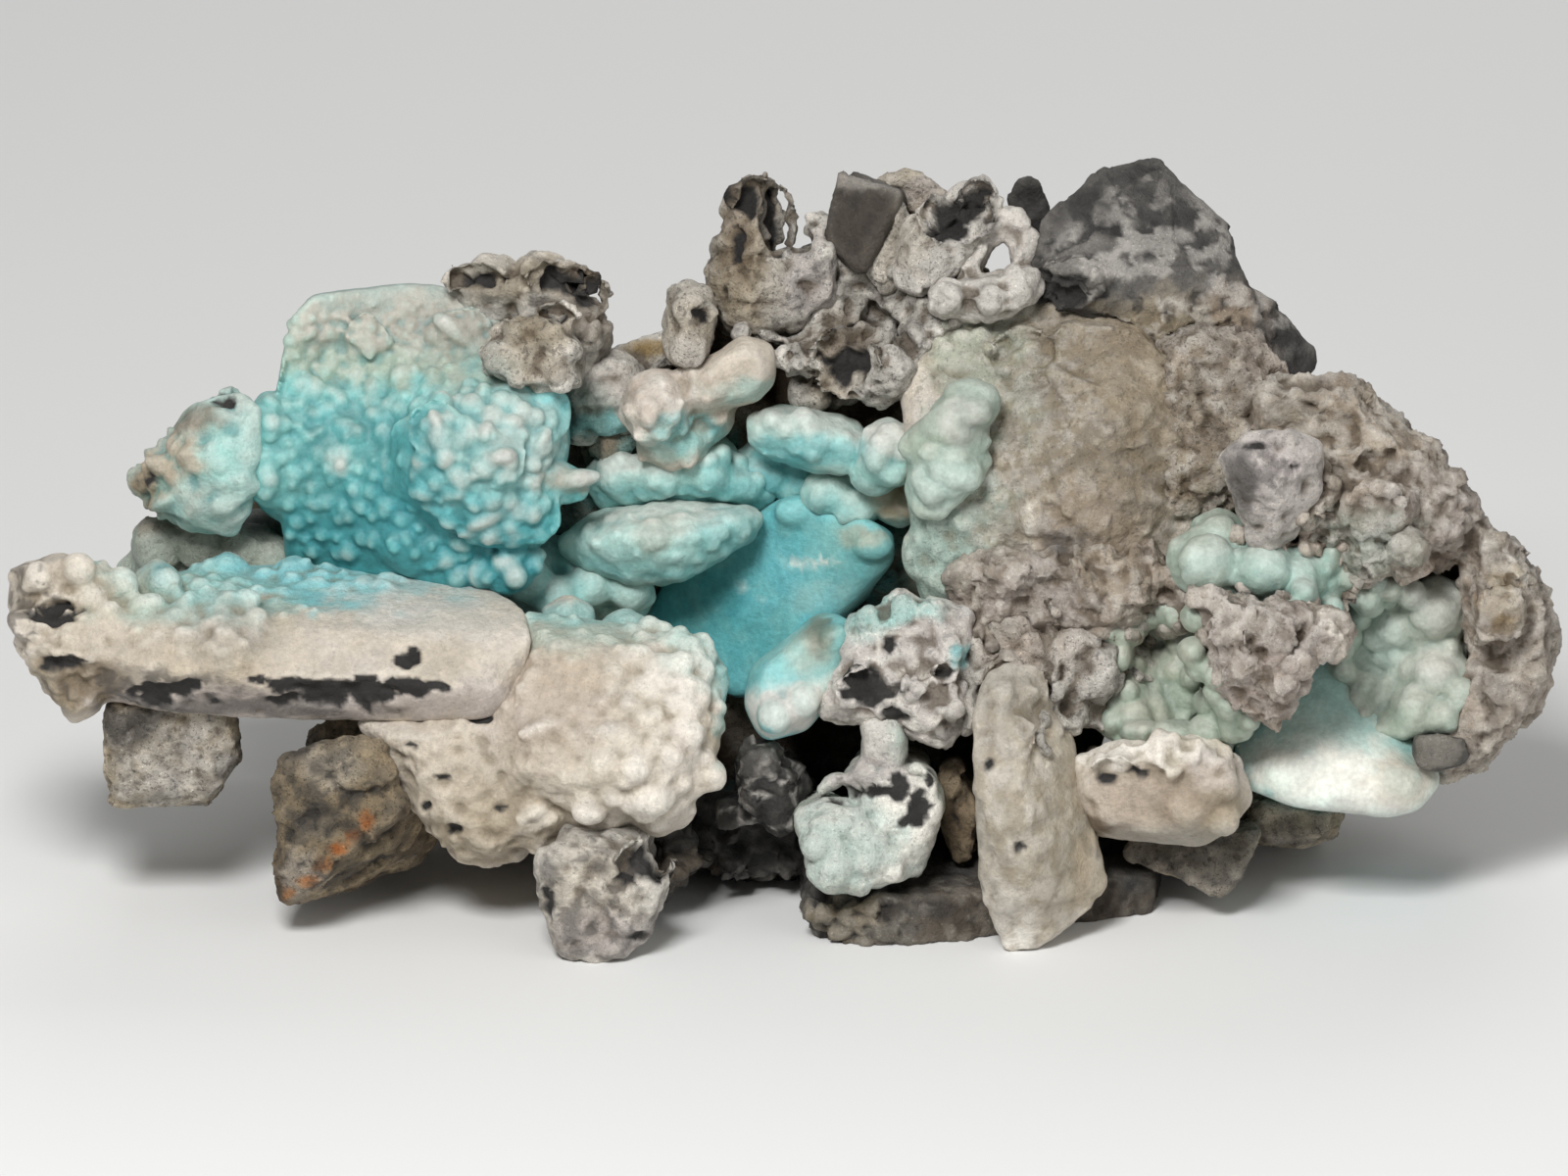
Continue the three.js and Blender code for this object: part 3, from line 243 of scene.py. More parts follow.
def chunks(place, size, seed):
    """Broken crumbs: the cell's own point that is nearest gives the crumb. Gives the distance to the crumb's
    edge in cells, the slope of its own tilted face, and a random tone for each crumb."""
    cell, part = cells(place, size, 0.5)
    first = np.full(len(place), 9.0, np.float32)
    second = first.copy()
    tilt = np.zeros(len(place), np.float32)
    tone = np.zeros(len(place), np.float32)
    for corner in CORNERS:
        number = draw(*(cell[:, axis] + np.uint32(corner[axis]) for axis in range(3)), seed)
        gap = np.zeros(len(place), np.float32)
        lean = np.zeros(len(place), np.float32)
        for axis in range(3):
            number = stir(number + np.uint32(axis + 1))
            offset = part[:, axis] - corner[axis] - CRUMB_SHIFT * (fraction(number) - 0.5)
            gap += offset ** 2
            lean += offset * (fraction(stir(number + np.uint32(5))) - 0.5)
        nearer = gap < first
        second = np.where(nearer, first, np.minimum(second, gap))
        tilt = np.where(nearer, lean, tilt)
        tone = np.where(nearer, fraction(stir(number + np.uint32(7))), tone)
        first = np.where(nearer, gap, first)
    return np.sqrt(second) - np.sqrt(first), tilt, tone


def step(low, high, value):
    """0 below low, 1 above high, and a smooth ramp 3t^2 - 2t^3 between."""
    t = np.clip((value - low) / (high - low), 0, 1)
    return t * t * (3 - 2 * t)


# Solids as arrays of points and triangles

def as_seen(points):
    """Where the camera sees points: millimetres across and up."""
    across = points[:, 0] + MIDDLE_ACROSS
    up = points[:, 2] * cos(SIGHT) + (points[:, 1] + MIDDLE_BACK) * sin(SIGHT)
    return across, up


def in_front(across, up):
    """A point far in front of the specimen on the line of sight to that place."""
    z = (up + FAR_IN_FRONT * sin(SIGHT)) / cos(SIGHT)
    return np.array([across - MIDDLE_ACROSS, -FAR_IN_FRONT - MIDDLE_BACK, z])


def packed(node):
    """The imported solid's points in millimetres, each once, and its triangles."""
    mesh = frame["nodes"][node].data
    points = np.empty(len(mesh.vertices) * 3)
    mesh.vertices.foreach_get("co", points)
    mesh.calc_loop_triangles()
    corners = np.empty(len(mesh.loop_triangles) * 3, np.int64)
    mesh.loop_triangles.foreach_get("vertices", corners)
    places, which = np.unique(np.round(points.reshape(-1, 3) / MM, 4), axis=0, return_inverse=True)
    faces = which.reshape(-1)[corners].reshape(-1, 3)
    whole = (faces[:, 0] != faces[:, 1]) & (faces[:, 1] != faces[:, 2]) & (faces[:, 2] != faces[:, 0])
    return places, faces[whole]


def ball_grid(rows=9, columns=14):
    """A ball of radius 1, closed at its poles, on a grid: (sin a cos b, sin a sin b, cos a)."""
    a = np.linspace(0, pi, rows + 1)[1:-1]
    b = np.linspace(0, 2 * pi, columns, endpoint=False)
    grid_a, grid_b = np.meshgrid(a, b, indexing="ij")
    ring = np.stack([np.sin(grid_a) * np.cos(grid_b), np.sin(grid_a) * np.sin(grid_b), np.cos(grid_a)], -1)
    points = np.concatenate([ring.reshape(-1, 3), [[0, 0, 1], [0, 0, -1]]])
    index = np.arange(len(a) * columns).reshape(len(a), columns)
    right = np.roll(index, -1, axis=1)
    upper, lower = index[:-1].ravel(), index[1:].ravel()
    upper_right, lower_right = right[:-1].ravel(), right[1:].ravel()
    top, bottom = len(points) - 2, len(points) - 1
    faces = np.concatenate([
        np.stack([upper, lower, lower_right], -1),
        np.stack([upper, lower_right, upper_right], -1),
        np.stack([np.full(columns, top), index[0], right[0]], -1),
        np.stack([np.full(columns, bottom), right[-1], index[-1]], -1),
    ])
    return points, faces


BALL_POINTS, BALL_FACES = ball_grid()


def joined(solids):
    """Several solids' arrays as one: their points in a row, and the triangles' numbers moved on to match."""
    points = np.concatenate([solid[0] for solid in solids])
    starts = np.cumsum([0] + [len(solid[0]) for solid in solids[:-1]])
    faces = np.concatenate([solid[1] + start for solid, start in zip(solids, starts)])
    return points, faces


def lump_solids(lumps):
    """Balls stretched to each lump's three radii, turned in the plane of sight and moved to its middle."""
    solids = []
    for middle, radius, wide, tall, deep, turn in lumps:
        along = cos(radians(turn)) * SIDE + sin(radians(turn)) * RISE
        over = cos(radians(turn)) * RISE - sin(radians(turn)) * SIDE
        axes = np.stack([along * wide, LOOK * deep, over * tall]) * radius
        solids.append((BALL_POINTS @ axes + middle, BALL_FACES))
    return solids


def landed(tree, across, up, radius, sink):
    """The middle of a lump on the first surface in sight, sunk in by a share of its radius."""
    start = in_front(across, up)
    hit, normal, _, _ = tree.ray_cast(Vector(start), Vector(LOOK))
    if hit is None:
        return None
    return np.array(hit) - np.array(normal) * radius * sink


def placed_lumps(tree, rows):
    """Lumps given as (across, up, radius, wide, tall, deep, turn), landed on the solid."""
    lumps = []
    for row in rows:
        across, up, radius = row[:3]
        wide, tall, deep, turn = row[3:] or PLAIN_BALL
        middle = landed(tree, across, up, radius, PLACED_SINK)
        if middle is not None:
            lumps.append((middle, radius, wide, tall, deep, turn))
    return lumps


def scattered_lumps(tree, rows, dice):
    """Lumps on a jittered grid inside ovals: (across, up, reach across, reach up, spacing, least, most)."""
    lumps = []
    for across, up, reach_across, reach_up, spacing, least, most in rows:
        columns = int(reach_across / spacing) + 1
        lines = int(reach_up / spacing) + 1
        for line in range(-lines, lines + 1):
            for column in range(-columns, columns + 1):
                shift = dice.uniform(-STUD_SHIFT, STUD_SHIFT, 2)
                size = dice.random()
                wide, tall = dice.uniform(*STUD_STRETCH, 2)
                turn = dice.uniform(0, 180)
                x = (column + 0.5 * (line % 2) + shift[0]) * spacing
                y = (line * LINE_SPACING + shift[1]) * spacing
                if (x / reach_across) ** 2 + (y / reach_up) ** 2 > 1:
                    continue
                radius = least + (most - least) * size ** STUD_LEANING
                middle = landed(tree, across + x, up + y, radius, STUD_SINK)
                if middle is not None:
                    lumps.append((middle, radius, wide, tall, 1, turn))
    return lumps


def rim_solid(tree, row, dice):
    """A broken edge of crust: a thin wall along part of an oval, standing up towards the camera by a jagged
    height and leaning outwards. Its section is a long rectangle carried along the oval."""
    across, up, reach_across, reach_up, height, thick, start, end = row
    count = max(FEWEST_STATIONS, int(abs(end - start) / RIM_STATION))
    angles = np.radians(np.linspace(start, end, count))
    jag = RIM_LEAST + RIM_JAG * dice.random(count)
    wander = 1 + RIM_WANDER * (dice.random(count) - 0.5)
    surface = tree.ray_cast(Vector(in_front(across, up)), Vector(LOOK))[0]
    points = []
    for angle, share, bend in zip(angles, jag, wander):
        outwards = cos(angle) * SIDE + sin(angle) * RISE
        start_point = in_front(across + reach_across * bend * cos(angle), up + reach_up * bend * sin(angle))
        hit = tree.ray_cast(Vector(start_point), Vector(LOOK))[0]
        surface = surface if hit is None else hit
        if surface is None:
            return None
        depth = (np.array(surface) - in_front(across, up)) @ LOOK
        foot = start_point + LOOK * depth
        tip = foot - LOOK * height * share + outwards * RIM_LEAN * height * share
        foot = foot + LOOK * RIM_ROOT
        half, edge = outwards * thick / 2, outwards * thick * RIM_EDGE
        points += [foot - half, foot + half, tip + edge, tip - edge]
    return np.array(points), wall_faces(count)


def wall_faces(count):
    """The triangles of a wall with four corners at each station, closed at both ends."""
    ring = np.arange(4)
    faces = []
    for station in range(count - 1):
        this, following = 4 * station + ring, 4 * station + 4 + ring
        beside, following_beside = np.roll(this, -1), np.roll(following, -1)
        faces.append(np.stack([this, following, following_beside], -1))
        faces.append(np.stack([this, following_beside, beside], -1))
    last = 4 * (count - 1)
    faces.append(np.array([[0, 1, 2], [0, 2, 3], [last, last + 2, last + 1], [last, last + 3, last + 2]]))
    return np.concatenate(faces)


def pressed(points, normals, rows):
    """Forms flattened: inside each oval the points that face the camera move along the line of sight towards
    the curved sheet a + bx + cy + dx^2 + exy + fy^2 that fits them best."""
    facing = step(*FACING_FOR_PRESSES, -(normals @ LOOK))
    for across, up, reach_across, reach_up, strength in rows:
        weight = oval(points, (across, up, reach_across, reach_up), PRESS_BORDER) * facing
        inside = weight > LEAST_WEIGHT
        side, rise = as_seen(points[inside])
        x, y = (side - across) / reach_across, (rise - up) / reach_up
        terms = np.stack([np.ones(len(x)), x, y, x * x, x * y, y * y], 1)
        depth = points[inside] @ LOOK
        sheet = terms @ np.linalg.lstsq(terms * weight[inside, None], depth * weight[inside], rcond=None)[0]
        points[inside] += ((sheet - depth) * weight[inside] * strength)[:, None] * LOOK
    return points


def depth_map(tree, across, up):
    """How far along the line of sight the first surface lies, for a whole grid of places."""
    depths = np.full(across.shape, FAR_BEHIND)
    for spot in np.ndindex(across.shape):
        distance = tree.ray_cast(Vector(in_front(across[spot], up[spot])), Vector(LOOK))[3]
        if distance is not None:
            depths[spot] = distance
    return depths


def filling_lumps(tree, rows, dice):
    """Crust that closes the gaps between fragments: (across, up, reach across, reach up, spacing, radius,
    sink). A front is laid over the fragments at a low quantile of the depths nearby, and wherever the
    surface lies behind it a lump reaching backwards is set a little below the front."""
    steps = range(-GAP_WINDOW, GAP_WINDOW + 1)
    around = [(i, j) for i in steps for j in steps if i * i + j * j < GAP_CIRCLE]
    lumps = []
    for across, up, reach_across, reach_up, spacing, radius, sink in rows:
        columns = int(reach_across / spacing) + GAP_WINDOW
        lines = int(reach_up / spacing) + GAP_WINDOW
        y, x = np.meshgrid(np.arange(-lines, lines + 1), np.arange(-columns, columns + 1), indexing="ij")
        x, y = (x + 0.5 * (y % 2)) * spacing, y * LINE_SPACING * spacing
        x = x + dice.uniform(-FILL_SHIFT, FILL_SHIFT, x.shape) * spacing
        y = y + dice.uniform(-FILL_SHIFT, FILL_SHIFT, x.shape) * spacing
        depths = depth_map(tree, across + x, up + y)
        near = np.stack([np.roll(depths, shift, (0, 1)) for shift in around])
        front = np.quantile(near, GAP_QUANTILE, axis=0)
        sizes = radius * dice.uniform(*FILL_SIZES, x.shape)
        gap = (depths > front + sink + GAP_CLEARANCE) & ((x / reach_across) ** 2 + (y / reach_up) ** 2 < 1)
        gap &= np.quantile(near, OUTLINE_QUANTILE, axis=0) < FAR_BEHIND
        for spot in zip(*np.nonzero(gap)):
            depth = front[spot] + sink + 2 * sizes[spot]
            middle = in_front(across + x[spot], up + y[spot]) + LOOK * depth
            lumps.append((middle, sizes[spot], 1, 1, FILL_DEPTH, 0))
    return lumps


def plugging_lumps(rows):
    """Lumps given as (across, up, back, radius), set deep in the rock to close a hole through it."""
    lumps = []
    for across, up, back, radius in rows:
        middle = in_front(across, up) + LOOK * (back + FAR_IN_FRONT) / cos(SIGHT)
        lumps.append((middle, radius, 1, 1, PLUG_DEPTH, 0))
    return lumps


# Skins

def blank(name, points, faces):
    """A mesh object of those arrays, in the scene."""
    mesh = bpy.data.meshes.new(name)
    mesh.from_pydata(points.tolist(), [], faces.tolist())
    thing = bpy.data.objects.new(name, mesh)
    bpy.context.scene.collection.objects.link(thing)
    return thing


def grown(points, faces, grain, soften):
    """One closed skin over all the shells given, made of squares of the grain's size and then evened."""
    thing = blank("shells", points, faces)
    skin = thing.modifiers.new("skin", "REMESH")
    skin.mode = "VOXEL"
    skin.voxel_size = grain
    even = thing.modifiers.new("even", "SMOOTH")
    even.factor = EVENING
    even.iterations = soften
    bpy.context.view_layer.update()
    ready = thing.evaluated_get(bpy.context.evaluated_depsgraph_get())
    mesh = bpy.data.meshes.new_from_object(ready)
    shell = thing.data
    bpy.data.objects.remove(thing)
    bpy.data.meshes.remove(shell)
    return mesh


def lightened(mesh, share):
    """The mesh with only that share of its triangles, the flattest places thinned first."""
    thing = bpy.data.objects.new("heavy", mesh)
    bpy.context.scene.collection.objects.link(thing)
    thin = thing.modifiers.new("thin", "DECIMATE")
    thin.ratio = share
    bpy.context.view_layer.update()
    ready = thing.evaluated_get(bpy.context.evaluated_depsgraph_get())
    light = bpy.data.meshes.new_from_object(ready)
    bpy.data.objects.remove(thing)
    bpy.data.meshes.remove(mesh)
    return light


def points_of(mesh):
    """The mesh's points as an array."""
    points = np.empty(len(mesh.vertices) * 3, np.float32)
    mesh.vertices.foreach_get("co", points)
    return points.reshape(-1, 3).astype(np.float64)


def arrays_of(mesh):
    """The mesh's points and its triangles as arrays."""
    mesh.calc_loop_triangles()
    faces = np.empty(len(mesh.loop_triangles) * 3, np.int64)
    mesh.loop_triangles.foreach_get("vertices", faces)
    return points_of(mesh), faces.reshape(-1, 3)


def normals_of(mesh):
    """The mesh's directions outwards at its points as an array."""
    normals = np.empty(len(mesh.vertices) * 3, np.float32)
    mesh.vertex_normals.foreach_get("vector", normals)
    return normals.reshape(-1, 3).astype(np.float64)


def edges_of(mesh):
    """The mesh's edges as pairs of point numbers."""
    edges = np.empty(len(mesh.edges) * 2, np.int64)
    mesh.edges.foreach_get("vertices", edges)
    return edges.reshape(-1, 2)


def averaged(values, edges, count):
    """Every point's value replaced by the mean of its neighbours' values along the edges."""
    one, other = edges[:, 0], edges[:, 1]
    near = np.bincount(one, minlength=count) + np.bincount(other, minlength=count)
    near = np.maximum(near, 1)
    if values.ndim == 1:
        total = np.bincount(one, values[other], count) + np.bincount(other, values[one], count)
        return total / near
    return np.stack([averaged(values[:, axis], edges, count) for axis in range(values.shape[1])], 1)


def oval(place, row, blur=0.35, fray=0.0, seed=5):
    """1 inside an oval as the camera sees it, 0 outside, the border blurred and frayed by waves."""
    across, up = as_seen(place)
    distance = np.hypot((across - row[0]) / row[2], (up - row[1]) / row[3])
    if fray:
        distance = distance + fray * rough(place, 2.2, seed, 3)
    return 1 - step(1 - blur, 1 + blur, distance)


def shaded(colour, other, weight):
    """One colour blended towards another by the weight at each point."""
    return colour + (np.array(other) - colour) * np.clip(weight, 0, 1)[:, None]


def linear(colour):
    """A colour as seen turned into the amount of light that it reflects: ((c + 0.055) / 1.055) ^ 2.4."""
    colour = np.clip(colour, 0, 1)
    return np.where(colour <= 0.04045, colour / 12.92, ((colour + 0.055) / 1.055) ** 2.4)


# Relief: each kind gives the height at every point, from about -1 to 1, and a tone from 0 to 1

def lumpy(place, size, seed):
    """Grown lumps of two sizes: the smaller ones are 0.6 times as large and 0.55 times as high, and show
    where they stand above the larger ones."""
    large, tone = balls(place, size, seed)
    small, _ = balls(place, size * 0.6, seed + 3)
    return np.maximum(large, 0.55 * small) * 1.6, tone


def wavy(place, size, seed):
    """A soft crust that swells and sinks: waves, and others of 0.4 times the length and 0.35 the height."""
    height = swell(place, size, seed) + 0.35 * swell(place, size * 0.4, seed + 1)
    return height * 0.7, height * 0.3 + 0.5


def grainy(place, size, seed):
    """Rock broken across: rough waves, each half as long as the one before."""
    height = rough(place, size, seed)
    return height, height * 0.4 + 0.5


def crumbly(place, size, seed):
    """Cemented crumbs: each with its own tilted face and its own height, less a crack along its edge."""
    edge, tilt, tone = chunks(place, size, seed)
    crack = 1 - step(0.0, 0.28, edge)
    return 2.6 * tilt + 0.5 * (tone - 0.5) - 0.55 * crack, tone


def split(place, size, seed):
    """Rock split along flat faces: tilted faces at their own heights, without cracks between them."""
    _, tilt, tone = chunks(place, size, seed)
    return 2.2 * tilt + 0.3 * (tone - 0.5), tone


def pitted(place, size, seed):
    """Small round holes in about a quarter of the lattice cells."""
    height, tone = balls(place, size, seed)
    return -1.6 * height * (tone < 0.27), tone


KINDS = {
    "lumpy": lumpy,
    "wavy": wavy,
    "grainy": grainy,
    "crumbly": crumbly,
    "split": split,
    "pitted": pitted,
}

# Finishes: what pieces of one kind share.
# grain: the spacing of the skin's points.
# soften, even: rounds of evening before the lumps are added, and after.
# melt: rounds that let the relief's forms run into one another. Pieces with more than one are coated with
# crust, and their far side, which the crust didn't reach, is plain rock.
# relief: kind, size of the forms and height in millimetres.
# colours: base, mottle, the painted shade in the hollows and the painted highlight on the crests.
# hollow shade, dusting, toning: how strongly the hollows take their painted shade, upward faces dust, and
# forms their tone.
FINISHES = {
    "blue_crust": {
        "melt": 2, "soften": 8, "even": 1, "hollow_shade": 0.45, "dusting": 0.3, "toning": 0.14,
        "relief": [("lumpy", 2.4, 0.12), ("wavy", 6.0, 0.35)],
        "colours": ("teal", "turquoise", "deep_blue", "aqua"),
    },
    "smooth_blue": {
        "melt": 4, "soften": 10, "even": 2, "hollow_shade": 0.4, "dusting": 0.1, "toning": 0.0,
        "relief": [("wavy", 9.0, 0.5), ("wavy", 3.0, 0.1), ("grainy", 1.3, 0.04)],
        "colours": ("sky", "turquoise", "deep_blue", "aqua"),
    },
    "pale_crust": {
        "melt": 3, "soften": 12, "even": 1, "hollow_shade": 0.65, "dusting": 0.5, "toning": 0.12,
        "relief": [("wavy", 5.0, 0.5), ("lumpy", 3.0, 0.42), ("lumpy", 1.7, 0.24), ("grainy", 1.4, 0.08)],
        "colours": ("pale_aqua", "aqua", "turquoise", "dust"),
    },
    "sea_crust": {
        "melt": 2, "soften": 8, "even": 2, "hollow_shade": 0.45, "dusting": 0.4, "toning": 0.12,
        "relief": [("lumpy", 2.2, 0.3), ("lumpy", 3.8, 0.4), ("wavy", 5.0, 0.4), ("grainy", 1.4, 0.06)],
        "colours": ("green_grey", "sea_grey", "sea_grey", "dust"),
    },
    "cream_crust": {
        "melt": 2, "soften": 5, "even": 2, "hollow_shade": 0.55, "dusting": 0.2, "toning": 0.08,
        "relief": [("wavy", 6.0, 0.4), ("grainy", 2.0, 0.2), ("pitted", 1.5, 0.14)],
        "colours": ("cream", "buff", "tan", "ivory"),
    },
    "ash_crust": {
        "melt": 1, "soften": 4, "even": 1, "hollow_shade": 0.75, "dusting": 0.3, "toning": 0.25,
        "relief": [("crumbly", 3.0, 0.35), ("wavy", 5.0, 0.4), ("grainy", 2.4, 0.3), ("pitted", 1.4, 0.28)],
        "colours": ("ash", "dust", "brown", "dust"),
    },
    "rubble": {
        "melt": 0, "soften": 3, "even": 1, "hollow_shade": 0.8, "dusting": 0.3, "toning": 0.25, "grain": 0.42,
        "relief": [
            ("crumbly", 2.4, 0.26), ("split", 5.2, 0.9), ("crumbly", 1.2, 0.2), ("pitted", 2.0, 0.5),
            ("grainy", 6.0, 0.9), ("split", 1.7, 0.2),
        ],
        "colours": ("rose_tan", "ash", "brown", "dust"),
    },
    "tan_stone": {
        "melt": 0, "soften": 1, "even": 1, "hollow_shade": 0.8, "dusting": 0.2, "toning": 0.25, "grain": 0.42,
        "relief": [("split", 2.6, 0.3), ("split", 7.0, 0.6), ("grainy", 2.6, 0.4), ("pitted", 1.2, 0.3)],
        "colours": ("tan", "buff", "brown", "dust"),
    },
    "brown_stone": {
        "melt": 0, "soften": 1, "even": 1, "hollow_shade": 0.8, "dusting": 0.2, "toning": 0.3, "grain": 0.45,
        "relief": [("split", 2.8, 0.35), ("split", 8.0, 0.7), ("grainy", 3.0, 0.55), ("pitted", 1.3, 0.3)],
        "colours": ("brown", "tan", "charcoal", "buff"),
    },
    "dark_stone": {
        "melt": 0, "soften": 1, "even": 1, "hollow_shade": 0.7, "dusting": 0.25, "toning": 0.3, "grain": 0.45,
        "relief": [("split", 2.6, 0.25), ("split", 8.0, 0.6), ("grainy", 2.6, 0.3), ("pitted", 1.2, 0.2)],
        "colours": ("slate", "charcoal", "charcoal", "ash"),
    },
}
